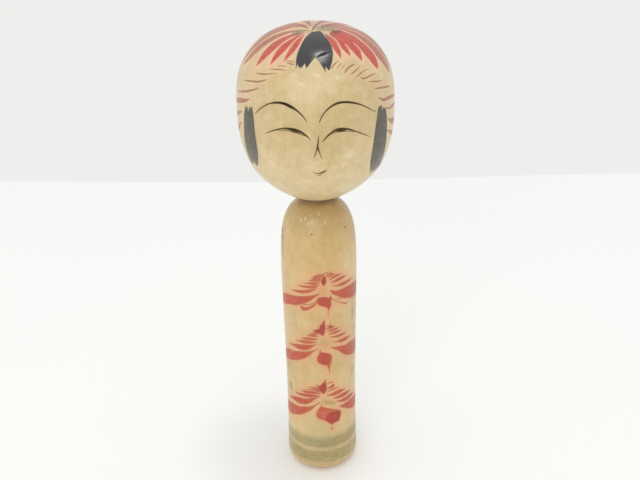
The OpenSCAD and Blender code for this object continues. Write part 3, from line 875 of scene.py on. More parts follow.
def wood_group():
    """Old waxed wood, turned along its grain. Everything is in object space."""
    tree = bpy.data.node_groups.new("turned_wood", "ShaderNodeTree")
    face = tree.interface
    face.new_socket("Offset", in_out="INPUT", socket_type="NodeSocketVector")
    for name in ("Place", "Color", "Rough", "Height", "Fleck"):
        face.new_socket(name, in_out="OUTPUT",
                        socket_type={"Color": "NodeSocketColor", "Place": "NodeSocketVector"}.get(name, "NodeSocketFloat"))
    n = Nodes(tree)
    entry = tree.nodes.new("NodeGroupInput")
    leave = tree.nodes.new("NodeGroupOutput")
    place = n.make("ShaderNodeTexCoord").outputs["Object"]
    p = n.vector("ADD", place, entry.outputs["Offset"])
    # broad drift from cream to tan
    broad = n.noise(p, 24, 2, 0.5, 0.4)
    color = n.mix(n.span(broad, 0.36, 0.64), (0.703, 0.554, 0.307), (0.622, 0.467, 0.230))
    # cloudy blotches, a few millimetres across
    cloud = n.noise(p, 125, 4, 0.62, 0.6)
    color = n.mix(1.0, color, n.make("ShaderNodeCombineColor", {
        0: n.span(cloud, 0.25, 0.75, 0.905, 1.095),
        1: n.span(cloud, 0.25, 0.75, 0.895, 1.105),
        2: n.span(cloud, 0.25, 0.75, 0.850, 1.150)}).outputs[0], "MULTIPLY")
    # fine mottling where the wax has sunk in unevenly
    mottle = n.span(n.noise(p, 520, 3, 0.65), 0.32, 0.68, 0, 1)
    color = n.tint(color, n.math("MULTIPLY", mottle, 0.30), (0.88, 0.84, 0.76))
    # growth rings round a pith that lies beside the lathe axis
    wobble = n.noise(p, 38, 3, 0.5)
    flat = n.vector("MULTIPLY", p, (1, 1, 0.035))
    flat = n.vector("ADD", flat, (0.011, -0.006, 0))
    radius = n.math("ADD", n.vector("LENGTH", flat), n.math("MULTIPLY", wobble, 0.009))
    ring = n.math("SINE", n.math("MULTIPLY", radius, 3600))
    ring = n.math("MULTIPLY", n.span(ring, -1, 1), n.span(n.noise(p, 60, 2), 0.4, 0.7))
    color = n.tint(color, n.math("MULTIPLY", ring, 0.17), (0.86, 0.76, 0.62))
    # fibres along the grain
    long = n.vector("MULTIPLY", p, (1, 1, 0.045))
    fibre = n.noise(long, 1500, 3, 0.6)
    color = n.tint(color, n.math("MULTIPLY", n.span(fibre, 0.42, 0.72), 0.24), (0.80, 0.70, 0.56))
    streak = n.noise(long, 420, 2, 0.5)
    color = n.tint(color, n.math("MULTIPLY", n.span(streak, 0.5, 0.72), 0.20), (0.86, 0.77, 0.62))
    # short dark flecks and pores
    pore_place = n.vector("MULTIPLY", p, (1, 1, 0.30))
    pore = n.span(n.noise(pore_place, 2100, 1.5, 0.5), 0.66, 0.76)
    color = n.tint(color, n.math("MULTIPLY", pore, 0.40), (0.62, 0.50, 0.36))
    # grey-green handling marks, sparse
    mark = n.math("MULTIPLY", n.span(n.noise(p, 70, 4, 0.6, 0.8), 0.57, 0.72),
                  n.span(n.noise(p, 17, 1), 0.42, 0.6))
    color = n.tint(color, n.math("MULTIPLY", mark, 0.30), (0.74, 0.76, 0.62))
    # waxed surface: fine lathe lines, fibres, small dents
    lathe = n.noise(n.vector("MULTIPLY", p, (0.02, 0.02, 1)), 2600, 2, 0.6)
    dents = n.noise(p, 300, 3, 0.6)
    height = n.math("ADD", n.math("MULTIPLY", lathe, 0.20),
                    n.math("ADD", n.math("MULTIPLY", fibre, 0.35), n.math("MULTIPLY", dents, 0.9)))
    height = n.math("SUBTRACT", height, n.math("MULTIPLY", pore, 0.25))
    rough = n.math("ADD", n.span(cloud, 0.2, 0.8, 0.30, 0.46), n.span(fibre, 0.3, 0.7, -0.03, 0.03))
    for name, socket in (("Place", place), ("Color", color), ("Rough", rough), ("Height", height), ("Fleck", pore)):
        tree.links.new(socket, leave.inputs[name])
    return tree


WOOD = wood_group()


def wood_base(n, offset):
    group = n.make("ShaderNodeGroup", {}, node_tree=WOOD)
    group.inputs["Offset"].default_value = offset
    return group.outputs


def finish_shader(n, material, color, rough, height, bump=0.35, spec=0.45, coat=0.24):
    tree = n.tree
    shader = n.make("ShaderNodeBsdfPrincipled", {
        "Base Color": color, "Roughness": rough, "Specular IOR Level": spec,
        "IOR": 1.46, "Coat Weight": coat, "Coat Roughness": 0.22, "Coat IOR": 1.45})
    normal = n.make("ShaderNodeBump", {"Height": height, "Strength": bump, "Distance": 0.00006})
    tree.links.new(normal.outputs[0], shader.inputs["Normal"])
    leave = n.make("ShaderNodeOutputMaterial")
    tree.links.new(shader.outputs[0], leave.inputs["Surface"])


def start(name):
    material = bpy.data.materials.new(name)
    material.use_nodes = True
    material.node_tree.nodes.clear()
    return material, Nodes(material.node_tree)


def head_wood_color(n, out):
    """The head's own marks on top of the plain wood."""
    place, color = out["Place"], out["Color"]
    split = n.make("ShaderNodeSeparateXYZ", {0: place}).outputs
    # dusty tan between the brows, and a cleaner forehead
    color = n.tint(color, n.math("MULTIPLY", n.spot(place, (0, -36, 205), (25, 22, 22), 0.1), 0.95), (0.85, 0.80, 0.69))
    # pale spots: those along the hairline are painted glints, a painted highlight; those lower on the face and on the
    # back are pale rubbed spots
    pale = None
    for centre, size in (((-8.7, -30.2, 225.6), (3.2, 4, 1.4)), ((0.7, -31.5, 225.5), (2.8, 4, 1.3)),
                         ((9.8, -30.5, 224.5), (2.4, 4, 1.5)), ((-5.6, -32.7, 222.3), (2.2, 4, 1)),
                         ((28.8, -17.6, 220.9), (2, 3, 2.4)), ((-11.7, -27.4, 228), (1.6, 3, .8)),
                         ((-20, -27.9, 185.5), (4, 5, 3)), ((14.5, -32.4, 190.8), (5, 5, 4)),
                         ((21.9, 23.8, 197.9), (5, 5, 4)), ((-11, 32.9, 211.3), (4, 5, 3))):
        s = n.spot(place, centre, size, 0.0)
        pale = s if pale is None else n.math("MAXIMUM", pale, s)
    grain = n.noise(place, 900, 3, 0.6)
    pale = n.math("MULTIPLY", pale, n.span(grain, 0.30, 0.62))
    color = n.mix(n.math("MULTIPLY", pale, 0.45), color, (0.86, 0.76, 0.50))
    # small dark specks near the chin and on the back
    dark = None
    for centre, size in (((-14.1, -27.5, 176.2), (.9, 1, .6)), ((-1.9, -29.3, 173.8), (2.6, 2, .8)),
                         ((8.8, -24.2, 169.5), (1.4, 1.4, .6)), ((-24.8, -24.2, 218.3), (2.6, 2.6, .8)),
                         ((7.3, 32, 180.7), (1.1, 1.2, .7)), ((-21.9, 24.7, 188.3), (.8, 1, 1.1)),
                         ((26.5, 18.3, 222.8), (.9, 1, .6))):
        s = n.spot(place, centre, size, 0.1)
        dark = s if dark is None else n.math("MAXIMUM", dark, s)
    color = n.tint(color, n.math("MULTIPLY", n.math("MULTIPLY", dark, n.span(grain, 0.3, 0.55)), 0.6), (0.62, 0.52, 0.38))
    cloud = n.math("MULTIPLY", n.span(n.noise(place, 230, 3, 0.6), 0.50, 0.72), 0.22)
    color = n.mix(cloud, color, (0.82, 0.70, 0.46))
    color = n.tint(color, 1.0, (0.985, 1.005, 1.06))
    # darker towards the bottom of the head, next to the neck
    low = n.span(split[2], 0.1583, 0.1650, 1.0, 0.0, smooth=True)
    color = n.tint(color, n.math("MULTIPLY", low, 0.35), (0.72, 0.62, 0.48))
    return color


def body_wood_color(n, out):
    """The body's own marks on top of the plain wood."""
    place, color = out["Place"], out["Color"]
    split = n.make("ShaderNodeSeparateXYZ", {0: place}).outputs
    z = split[2]
    wide = n.noise(place, 90, 3, 0.6)
    # the body is more orange than the head, most of all up the front: partly aged tone, partly painted warm shade and
    # bounce light from the head above
    front = n.spot(place, (3, -21, 118), (15, 18, 48), 0.1)
    color = n.tint(color, n.span(front, 0, 1, 0.45, 0.95), (0.975, 0.875, 0.735))
    # painted shade: darker and warmer towards the top, under the head
    high = n.math("MULTIPLY", n.span(z, 0.122, 0.140, 0, 1, smooth=True), n.span(wide, 0.3, 0.7, 0.6, 1.0))
    color = n.tint(color, n.math("MULTIPLY", high, 0.9), (0.93, 0.89, 0.82))
    # brown stain where the head has turned on the shoulder, together with painted shade: the ring is darkest right
    # under the head, where its shadow falls
    edge = n.math("ADD", z, n.math("MULTIPLY", wide, -0.0055))
    stain_and_shade = n.span(edge, 0.1508, 0.1545, 0.0, 1.0, smooth=True)
    color = n.tint(color, n.math("MULTIPLY", stain_and_shade, 0.85), (0.66, 0.55, 0.45))
    neck_dirt_and_shade = n.span(n.math("ADD", z, n.math("MULTIPLY", wide, -0.003)), 0.1530, 0.1562, 0.0, 1.0, smooth=True)
    color = n.tint(color, n.math("MULTIPLY", neck_dirt_and_shade, 0.9), (0.45, 0.34, 0.26))
    # a paler line worn across the shoulder
    wear = n.math("ADD", z, n.math("MULTIPLY", n.math("SUBTRACT", wide, 0.5), 0.003))
    wear = n.math("MULTIPLY", n.span(wear, 0.1478, 0.1484, 0, 1, smooth=True), n.span(wear, 0.1486, 0.1494, 1, 0, smooth=True))
    wear = n.math("MULTIPLY", wear, n.span(n.noise(place, 60, 2, 0.5), 0.42, 0.60))
    color = n.mix(n.math("MULTIPLY", wear, 0.22), color, (0.76, 0.63, 0.42))
    # painted shade: the shoulder darkens towards its top, under the head
    shade = n.span(z, 0.138, 0.154, 0.0, 1.0, smooth=True)
    color = n.tint(color, n.math("MULTIPLY", shade, 0.75), (0.80, 0.79, 0.76))
    # short pale nicks on the shoulder: partly scuffs, partly painted glints of the waxed shoulder, a painted highlight
    pale = None
    for centre, size in (((-8, -12.4, 150.2), (.8, 1.2, 1)), ((-6.1, -12.8, 151), (.9, 1.4, 1.2)),
                         ((-4.5, -14.5, 149.3), (.6, 1.2, .8)), ((-2.8, -14.5, 150.1), (.5, 1.2, 1.7)),
                         ((0.7, -12.3, 153.1), (.55, 1.2, 1.6)), ((3.3, -14.7, 149.5), (.5, 1.2, 1.6)),
                         ((-3.6, -12.6, 152.4), (.5, 1.2, 1)), ((14, -7.4, 147.8), (.6, 1, 1.4)),
                         ((-12.4, 9, 145), (.6, 1, 1.4)), ((4.3, 15.4, 146.6), (.7, 1.2, 1.1)),
                         ((9, 16.3, 61.5), (.6, 1.2, 2.2)), ((-16.2, 7.1, 98.4), (.6, 1.2, 1.8))):
        s = n.spot(place, centre, size, 0.0)
        pale = s if pale is None else n.math("MAXIMUM", pale, s)
    color = n.mix(n.math("MULTIPLY", pale, 0.55), color, (0.86, 0.72, 0.46))
    # dark specks, worm-eaten points and one longer stain
    dark = None
    for centre, size in (((-3.1, -16.7, 144.5), (.75, 1, .75)), ((12.9, -10.9, 145.1), (.8, 1, .9)),
                         ((-17.3, -4, 141.2), (1.3, 1.6, 2.4)), ((-17.5, -5, 138.0), (1.0, 1.2, 2.6)),
                         ((-18, -5.2, 96.4), (.8, .8, 1.4)), ((13.3, -13.3, 111.3), (.45, .6, .5)),
                         ((-16.2, -8.7, 52.4), (1.3, 1.7, 3)), ((-15.7, -9.4, 50), (1.1, 1.5, 2)),
                         ((-8.2, -16.9, 104.8), (.4, .6, .5)),
                         ((10.9, 15.2, 121), (.8, 1, .8)), ((-5.7, 17.9, 73.8), (.7, 1, 1.1)),
                         ((-12.2, 13.9, 33.8), (.6, .8, .6)), ((17.7, 3.8, 86.1), (.6, .6, 1))):
        s = n.spot(place, centre, size, 0.1)
        dark = s if dark is None else n.math("MAXIMUM", dark, s)
    color = n.tint(color, n.math("MULTIPLY", dark, 0.95), (0.36, 0.27, 0.17))
    heart = n.math("MAXIMUM", n.spot(place, (0.8, -18.9, 114.6), (5.5, 5, 6.5), 0.0), n.spot(place, (1.4, -18.5, 83.2), (5.5, 5, 6.5), 0.0))
    color = n.tint(color, n.math("MULTIPLY", heart, n.span(wide, 0.3, 0.6, 0.6, 1.0)), (0.90, 0.74, 0.68))
    mark = None
    for centre, size in (((16.6, -8.6, 96.5), (3.2, 3.4, 7)), ((17.1, -7.4, 85.8), (1.8, 2.4, 5)),
                         ((16.3, -8.4, 60.5), (3, 3.2, 5.5)), ((-17.4, -4.4, 139.5), (2.2, 2.6, 5)),
                         ((-16.1, -9.1, 74.5), (1.4, 1.6, 4))):
        s = n.spot(place, centre, size, 0.0)
        mark = s if mark is None else n.math("MAXIMUM", mark, s)
    mark = n.math("MULTIPLY", mark, n.span(n.noise(place, 420, 3, 0.6), 0.36, 0.60, 0.35, 1.0))
    color = n.tint(color, n.math("MULTIPLY", mark, 0.8), (0.58, 0.57, 0.47))
    # grey-green smudges down the right side and a grey one up on the left
    smudge = None
    for centre, size in (((17.4, -7.1, 104.5), (5, 6, 9)), ((17.6, -6, 80.7), (4, 5, 8)),
                         ((-17.5, -5.8, 135), (3, 4, 16)), ((-13.5, -12.9, 91.5), (7, 7, 6)),
                         ((-16.6, -7.9, 64.8), (4, 6, 8)), ((9.5, 15.2, 106.6), (7, 7, 12)), ((-14.2, 11.4, 51.3), (6, 6, 10))):
        s = n.spot(place, centre, size, 0.0)
        smudge = s if smudge is None else n.math("MAXIMUM", smudge, s)
    smudge = n.math("MULTIPLY", smudge, n.span(wide, 0.40, 0.58))
    color = n.tint(color, n.math("MULTIPLY", smudge, 0.95), (0.68, 0.70, 0.60))
    # the wood is greyer low down on the front
    color = n.tint(color, n.spot(place, (0.5, -19, 28), (15, 10, 20), 0.2), (0.85, 0.90, 0.90))
    # green bands brushed on at the foot while the body was turning, with a
    # plain line left between them
    brush = n.noise(n.vector("MULTIPLY", place, (1, 1, 3.2)), 260, 3, 0.65)
    fine = n.noise(place, 1300, 3, 0.7)
    ragged = n.math("ADD", z, n.math("MULTIPLY", n.math("SUBTRACT", n.noise(place, 170, 3, 0.6), 0.5), 0.0022))
    upper = n.math("MULTIPLY", n.span(z, 0.0163, 0.0173, 0, 1, smooth=True), n.span(ragged, 0.0216, 0.0247, 1, 0, smooth=True))
    lower = n.math("MULTIPLY", n.span(z, 0.0058, 0.0076, 0, 1, smooth=True), n.span(z, 0.0138, 0.0148, 1, 0, smooth=True))
    strength = n.math("ADD", n.math("MULTIPLY", brush, 0.95), n.math("MULTIPLY", fine, 0.35))
    strength = n.span(strength, 0.42, 0.86, 0.55, 1.0)
    faint = n.math("MULTIPLY", n.span(z, 0.0030, 0.0058, 0, 1, smooth=True), n.span(z, 0.0237, 0.0254, 1, 0, smooth=True))
    band = n.math("MAXIMUM", n.math("MULTIPLY", n.math("MAXIMUM", upper, lower), strength), n.math("MULTIPLY", faint, 0.34))
    color = n.tint(color, band, (0.490, 0.560, 0.500))
    # darker towards the foot, over its lowest 6 mm
    rim = n.math("MULTIPLY", n.span(z, 0.0, 0.0058, 1, 0, smooth=True), n.span(wide, 0.3, 0.6, 0.4, 1.0))
    color = n.tint(color, n.math("MULTIPLY", rim, 0.6), (0.72, 0.66, 0.56))
    return color


def soak(n, color, place, peach):
    """Wood next to a stroke, where the dye has bled pink into the grain."""
    cloud = n.span(n.noise(place, 420, 3, 0.6), 0.25, 0.70, 0.70, 1.0)
    return n.mix(n.math("MULTIPLY", n.value("blush"), cloud), color, peach)


def red_dye(n, color, place, warm=(1.0, 1.0, 1.0), pale=((0.70, 0.25, 0.180), (0.64, 0.215, 0.150)),
            edge=(0.25, 0.75)):
    """Crimson dye: brown along its thin edge, lighter inside it, deep and
    mottled in the middle of a stroke."""
    red, depth = n.value("red"), n.value("depth")
    along, across, seed, coat = n.value("along"), n.value("across"), n.value("seed"), n.value("coat")
    brown = n.value("brown")
    path = n.make("ShaderNodeCombineXYZ", {0: n.math("MULTIPLY", along, 0.10), 1: n.math("MULTIPLY", across, 0.9),
                                            2: n.math("MULTIPLY", seed, 40)}).outputs[0]
    bristle = n.noise(path, 2.3, 3, 0.6)
    speckle = n.noise(place, 950, 4, 0.75)
    pool = n.noise(place, 260, 3, 0.6)
    grain = n.span(n.noise(n.vector("MULTIPLY", place, (1, 1, 0.08)), 900, 3, 0.6), 0.3, 0.7, 0.90, 1.06)
    wavy = n.math("ADD", depth, n.math("MULTIPLY", n.math("SUBTRACT", pool, 0.5), 0.9))
    body = n.span(wavy, 0.05, 0.70, 0, 1, smooth=True)
    thin = n.mix(n.span(seed, 0, 1), *pale)
    full = n.mix(n.span(speckle, 0.40, 0.58), (0.48, 0.058, 0.048), (0.58, 0.098, 0.074))
    full = n.mix(n.span(speckle, 0.57, 0.72, 0, 0.7), full, (0.66, 0.18, 0.135))
    full = n.mix(n.span(bristle, 0.38, 0.72, 0, 0.40), full, (0.66, 0.18, 0.135))
    full = n.mix(n.span(coat, 0, 1, 0, 0.85), full, (0.40, 0.045, 0.045))
    dye = n.mix(body, thin, full)
    worn = n.mix(n.span(speckle, 0.42, 0.62), (0.36, 0.150, 0.090), (0.47, 0.225, 0.140))
    worn = n.mix(body, (0.55, 0.30, 0.19), worn)
    dye = n.mix(n.math("MULTIPLY", brown, n.span(pool, 0.30, 0.62, 1.0, 0.75)), dye, worn)
    rim = n.math("MULTIPLY", n.span(depth, 0.05, 0.32, 1, 0, smooth=True), n.span(bristle, 0.3, 0.6, *edge))
    dye = n.mix(rim, dye, (0.30, 0.100, 0.060))
    dye = n.tint(dye, 1.0, warm)
    dye = n.vector("MULTIPLY", dye, n.make("ShaderNodeCombineXYZ", {0: grain, 1: grain, 2: grain}).outputs[0])
    return n.mix(red, color, dye)


HEAD_PEACH = (0.90, 0.55, 0.39)
BODY_PEACH = (0.70, 0.325, 0.17)


def handled_crown(n, color, place):
    """Grey grime round the whorl, over dye and wood alike."""
    grime = n.math("MAXIMUM", n.spot(place, (2.0, -1.0, 239.5), (11, 8, 4), 0.3),
                   n.math("MULTIPLY", n.spot(place, (5.5, -14, 237.5), (5, 6, 3), 0.2), 0.8))
    grime = n.math("MULTIPLY", grime, n.span(n.noise(place, 500, 3, 0.6), 0.30, 0.62, 0.65, 1.0))
    return n.tint(color, grime, (0.72, 0.73, 0.80))


def head_paint():
    material, n = start("head_painted_wood")
    out = wood_base(n, (0.0, 0.0, 0.0))
    place = out["Place"]
    color = head_wood_color(n, out)
    color = soak(n, color, place, HEAD_PEACH)
    color = red_dye(n, color, place)
    speckle = n.noise(place, 900, 3, 0.6)
    green = n.math("MULTIPLY", n.value("green"), n.span(speckle, 0.36, 0.60, 0.50, 1.0))
    color = n.tint(color, green, (0.37, 0.40, 0.35))
    color = n.tint(color, n.math("MULTIPLY", n.value("dry"), 0.92), (0.25, 0.13, 0.08))
    color = handled_crown(n, color, place)
    return material, n, out, place, color


def wood_head_material():
    material, n = start("head_wood")
    out = wood_base(n, (0.0, 0.0, 0.0))
    color = head_wood_color(n, out)
    color = soak(n, color, out["Place"], HEAD_PEACH)
    color = handled_crown(n, color, out["Place"])
    finish_shader(n, material, color, out["Rough"], out["Height"])
    return material


def wood_body_material():
    material, n = start("body_wood")
    out = wood_base(n, (0.31, 0.17, 0.0))
    color = body_wood_color(n, out)
    color = soak(n, color, out["Place"], BODY_PEACH)
    finish_shader(n, material, color, out["Rough"], out["Height"])
    return material


def red_head_material():
    material, n, out, place, color = head_paint()
    finish_shader(n, material, color, out["Rough"], out["Height"], spec=0.28, coat=0.28)
    return material


def red_body_material():
    material, n = start("flower_dye")
    out = wood_base(n, (0.31, 0.17, 0.0))
    place = out["Place"]
    color = body_wood_color(n, out)
    color = soak(n, color, place, BODY_PEACH)
    color = red_dye(n, color, place, (0.90, 1.10, 0.82), ((0.62, 0.150, 0.120), (0.57, 0.125, 0.095)), (0.40, 0.95))
    speckle = n.noise(place, 500, 3, 0.6)
    green = n.math("MULTIPLY", n.value("green"), n.span(speckle, 0.3, 0.6, 0.45, 0.9))
    color = n.tint(color, green, (0.66, 0.60, 0.46))
    color = n.tint(color, n.math("MULTIPLY", n.value("dry"), 0.85), (0.36, 0.27, 0.22))
    finish_shader(n, material, color, out["Rough"], out["Height"], spec=0.28, coat=0.04)
    return material


def forelock_material():
    material, n, out, place, color = head_paint()
    path = n.make("ShaderNodeCombineXYZ", {0: n.math("MULTIPLY", n.value("across"), 0.75),
                                            1: n.math("MULTIPLY", n.value("along"), 0.10)}).outputs[0]
    bristle = n.noise(path, 1.6, 5, 0.75)
    speckle = n.noise(place, 1300, 3, 0.7)
    ink = n.mix(n.span(bristle, 0.35, 0.75), (0.010, 0.010, 0.014), (0.030, 0.029, 0.031))
    ink = n.mix(n.span(speckle, 0.58, 0.74), ink, (0.075, 0.070, 0.064))
    # thin ink at the edge lets the wood show brown
    edge = n.span(n.math("ADD", n.value("depth"), n.math("MULTIPLY", speckle, 0.25)), 0.12, 0.42, 1, 0)
    ink = n.mix(n.math("MULTIPLY", edge, 0.6), ink, (0.115, 0.080, 0.052))
    # painted highlight: a pale patch below the nick that stands in for the lamp's glare on the ink
    glare_patch = n.spot(place, (2.0, -26.9, 230.9), (5.5, 3.2, 3.4), 0.15)
    glare_patch = n.math("MULTIPLY", n.math("MULTIPLY", glare_patch, glare_patch), n.span(bristle, 0.3, 0.7, 0.40, 0.65))
    ink = n.mix(glare_patch, ink, (0.40, 0.385, 0.35))
    gash = n.value("gash")
    ink = n.mix(n.math("MULTIPLY", gash, 0.9), ink, (0.012, 0.012, 0.013))
    color = n.mix(n.value("black"), color, ink)
    rough = n.lerp(n.value("black"), out["Rough"], n.span(bristle, 0.3, 0.7, 0.15, 0.24))
    rough = n.lerp(gash, rough, 0.85)
    finish_shader(n, material, color, rough, out["Height"], bump=0.40, spec=1.0, coat=0.0)
    return material


def lock_material():
    material, n, out, place, color = head_paint()
    path = n.make("ShaderNodeCombineXYZ", {0: n.math("MULTIPLY", n.value("across"), 1.5),
                                            1: n.math("MULTIPLY", n.value("along"), 0.07)}).outputs[0]
    bristle = n.noise(path, 2.6, 4, 0.65)
    low = n.span(n.value("along"), 70, 87, 0, 1)
    # the brush runs dry towards the lower end
    dry = n.span(n.math("ADD", bristle, n.math("MULTIPLY", low, 0.13)), 0.50, 0.66, 0, 1)
    speckle = n.noise(place, 1500, 3, 0.6)
    ink = n.mix(n.span(speckle, 0.35, 0.65), (0.076, 0.068, 0.055), (0.120, 0.109, 0.088))
    ink = n.mix(n.math("MULTIPLY", dry, 0.50), ink, (0.34, 0.30, 0.225))
    color = n.mix(n.value("black"), color, ink)
    finish_shader(n, material, color, out["Rough"], out["Height"], bump=0.4, spec=0.3, coat=0.03)
    return material


def line_material():
    material, n, out, place, color = head_paint()
    speckle = n.noise(place, 2200, 2, 0.5)
    ink = n.mix(n.span(speckle, 0.35, 0.7), (0.012, 0.007, 0.001), (0.034, 0.021, 0.004))
    color = n.mix(n.value("line"), color, ink)
    finish_shader(n, material, color, out["Rough"], out["Height"], spec=0.16, coat=0.0)
    return material


def lip_material():
    material, n, out, place, color = head_paint()
    finish_shader(n, material, color, out["Rough"], out["Height"], spec=0.28, coat=0.03)
    return material

# ---------------------------------------------------------------------------
# The two wooden pieces
# ---------------------------------------------------------------------------
TENON_R = 6.0
SOCKET_R = 6.05
SOCKET_DEEP = 24.0
DRILL_POINT = 3.0
MOUTH = 0.8
DISH_R, DISH_DEEP = 11.0, 0.8
CENTRE_R, CENTRE_DEEP = 1.5, 1.2

# head: crown, outside, seat, mouth of the socket, socket wall, drill cone
rings = spaced(HEAD, 0.0, HEAD.s[-1], 0.9)
rings[0] = (0.0, CROWN)
edge = len(rings) - 1
rings += [(SOCKET_R + MOUTH, SEAT_HEAD), (SOCKET_R, SEAT_HEAD + MOUTH)]
rings += [(SOCKET_R, SEAT_HEAD + MOUTH + k * (SOCKET_DEEP - MOUTH) / 12) for k in range(1, 13)]
rings += [(SOCKET_R * (1 - k / 3), SEAT_HEAD + SOCKET_DEEP + DRILL_POINT * k / 3) for k in (1, 2)]
rings += [(0.0, SEAT_HEAD + SOCKET_DEEP + DRILL_POINT)]
rings = eased(rings, edge, 0.3)
head_wood, head_points = turned("head_wood", rings, 240)

# body: centre mark, dish, standing face, side, seat, tenon
rings = [(0.0, BASE + DISH_DEEP + CENTRE_DEEP), (CENTRE_R * 0.5, BASE + DISH_DEEP + CENTRE_DEEP / 2),
         (CENTRE_R, BASE + DISH_DEEP)]
rings += [(CENTRE_R + k * (DISH_R - 1.5 - CENTRE_R) / 9, BASE + DISH_DEEP) for k in range(1, 10)]
rings += [(DISH_R, BASE)]
rings += [(DISH_R + 1.2, BASE)]
rings += spaced(BODY, 0.0, BODY.s[-1], 0.85)
edge = len(rings) - 1
rings += [(TENON_R, SEAT)]
rings += [(TENON_R, SEAT + k * (TENON_TOP - 1.2 - SEAT) / 12) for k in range(1, 13)]
rings += [(TENON_R - 1.2, TENON_TOP), (3.0, TENON_TOP), (0.0, TENON_TOP)]
rings = eased(rings, edge, 0.25)
body_wood, body_points = turned("body_wood", rings[::-1], 192)

for obj in (head_wood, body_wood):
    mesh = obj.data
    mesh.set_sharp_from_angle(angle=math.radians(38))

# the dye has bled a little into the wood round the strokes
r = np.hypot(head_points[:, 0], head_points[:, 1])
theta = np.arctan2(head_points[:, 0], -head_points[:, 1])
down = np.zeros(len(head_points))
for i, (ri, zi) in enumerate(zip(r, head_points[:, 2])):
    down[i] = HEAD.s[np.argmin((HEAD.line[:, 0] - ri) ** 2 + (HEAD.line[:, 1] - zi) ** 2)]
outside = np.array([np.min((HEAD.line[:, 0] - ri) ** 2 + (HEAD.line[:, 1] - zi) ** 2) < 0.5
                    for ri, zi in zip(r, head_points[:, 2])])
crown_q = np.stack([down * np.sin(theta), -down * np.cos(theta)], -1)
face_q = np.stack([theta * FACE_R, down], -1)
crown_values = ink_values("crown", crown_q)
face_values = ink_values("face", face_q)
blush = np.maximum(crown_values["blush"], face_values["blush"]) * outside
point_values(head_wood.data, {"blush": blush})
theta = np.arctan2(body_points[:, 0], -body_points[:, 1])
side_q = np.stack([theta * SIDE_R, body_points[:, 2]], -1)
point_values(body_wood.data, {"blush": ink_values("body", side_q)["blush"]})

# ---------------------------------------------------------------------------
# The painting
# ---------------------------------------------------------------------------
head_red = red_head_material()
head_films = [
    (film("paint_crown_petals", "crown", ["red", "green", "olive"], 0.40, 0.3, 0.020), head_red),
    (film("paint_forelock", "crown", ["black"], 0.20, 0.2, 0.030), forelock_material()),
    (film("paint_temple_strokes", "face", ["temple"], 0.20, 0.2, 0.020), head_red),
]
lock = lock_material()
for side, low, high in (("left", (-70, 0), (0, 140)), ("right", (0, 0), (70, 140))):
    head_films.append((film("paint_side_lock_" + side, "face", ["lock"], 0.2, 0.25, 0.026, low, high), lock))
line = line_material()
head_films += [
    (film("paint_brows", "face", ["line"], 0.13, 0.15, 0.020, (-60, 45), (60, 57)), line),
    (film("paint_eyes", "face", ["line", "fine"], 0.13, 0.15, 0.020, (-60, 57), (60, 64.5)), line),
    (film("paint_nose", "face", ["line"], 0.13, 0.15, 0.020, (-4, 64.5), (5, 80)), line),
    (film("paint_mouth", "face", ["lip"], 0.14, 0.15, 0.020), lip_material()),
]
flower = red_body_material()
body_films = []
for name, low, high in (("top", 98, 140), ("middle", 62.2, 98), ("bottom", 20, 62.2)):
    body_films.append((film("paint_flower_" + name, "body", ["red", "bud", "drop", "area", "green", "dark"], 0.20, 0.25, 0.020,
                            (-60, low), (60, high)), flower))

head_wood.data.materials.append(wood_head_material())
body_wood.data.materials.append(wood_body_material())
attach(head_wood, "head")
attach(body_wood, "body")
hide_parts("head")
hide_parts("body")
for films, body in ((head_films, "head"), (body_films, "body")):
    for obj, material in films:
        obj.data.materials.append(material)
        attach(obj, body)

# ---------------------------------------------------------------------------
# Camera, floor and light
# ---------------------------------------------------------------------------
right = Vector((0.999783, -0.011154, -0.017615))
up = Vector((0.020763, 0.455682, 0.889900))
back = right.cross(up)
camera_data = bpy.data.cameras.new("camera")
camera_data.sensor_width = 36
camera_data.lens = 48.375
camera_data.clip_start = 0.01
camera = bpy.data.objects.new("camera", camera_data)
scene.collection.objects.link(camera)
camera.matrix_world = Matrix((
    (right.x, up.x, back.x, 0.0),
    (right.y, up.y, back.y, -0.37974),
    (right.z, up.z, back.z, 0.32735),
    (0, 0, 0, 1)))
scene.camera = camera

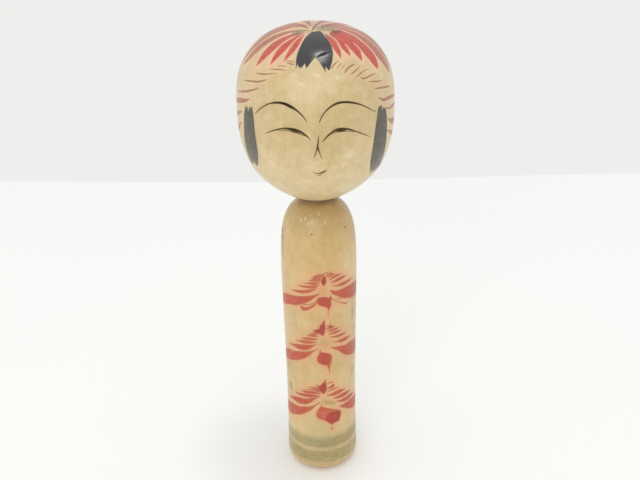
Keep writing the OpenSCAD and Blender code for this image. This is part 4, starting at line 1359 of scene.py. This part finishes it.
scene.view_settings.view_transform = "Standard"
scene.view_settings.look = "None"
scene.view_settings.exposure = 0
scene.view_settings.gamma = 1

# a pale table top whose far edge lies behind the doll
floor_mesh = bpy.data.meshes.new("floor")
floor_mesh.from_pydata([(-5, -5, 0), (5, -5, 0), (5, 0.415, 0), (0.333, 0.3884, 0), (0.197, 0.3876, 0), (0.100, 0.3853, 0),
                        (-0.079, 0.3849, 0), (-0.162, 0.3897, 0), (-0.251, 0.3963, 0), (-0.330, 0.4014, 0),
                        (-5, 0.703, 0)], [], [tuple(range(11))])
floor = bpy.data.objects.new("floor", floor_mesh)
scene.collection.objects.link(floor)
material, n = start("pale_floor")
place = n.make("ShaderNodeTexCoord").outputs["Object"]
cloud = n.noise(place, 6, 3, 0.5)
tone = n.mix(cloud, (0.950, 0.958, 0.957), (0.968, 0.972, 0.966))
shader = n.make("ShaderNodeBsdfPrincipled", {"Base Color": tone, "Roughness": 0.55, "Specular IOR Level": 0.25})
bump = n.make("ShaderNodeBump", {"Height": n.noise(place, 1800, 2), "Strength": 0.05, "Distance": 0.0001})
material.node_tree.links.new(bump.outputs[0], shader.inputs["Normal"])
leave = n.make("ShaderNodeOutputMaterial")
material.node_tree.links.new(shader.outputs[0], leave.inputs["Surface"])
floor_mesh.materials.append(material)

world = bpy.data.worlds.new("studio")
scene.world = world
world.use_nodes = True
sky = world.node_tree.nodes.get("Background") or world.node_tree.nodes.new("ShaderNodeBackground")
sky.inputs["Color"].default_value = (0.860, 0.858, 0.845, 1)
sky.inputs["Strength"].default_value = 1.0


def area_light(name, place, target, size, power, color=(1, 1, 1)):
    data = bpy.data.lights.new(name, "AREA")
    data.shape = "DISK"
    data.size = size
    data.energy = power
    data.color = color
    obj = bpy.data.objects.new(name, data)
    scene.collection.objects.link(obj)
    obj.location = place
    obj.rotation_euler = (Vector(target) - Vector(place)).to_track_quat("-Z", "Y").to_euler()
    return obj


area_light("overhead", (0.165, -0.01, 1.60), (0, 0, 0.15), 0.24, 2.3)
area_light("front", (-0.45, -1.50, 0.75), (0, 0, 0.12), 1.1, 6.0)
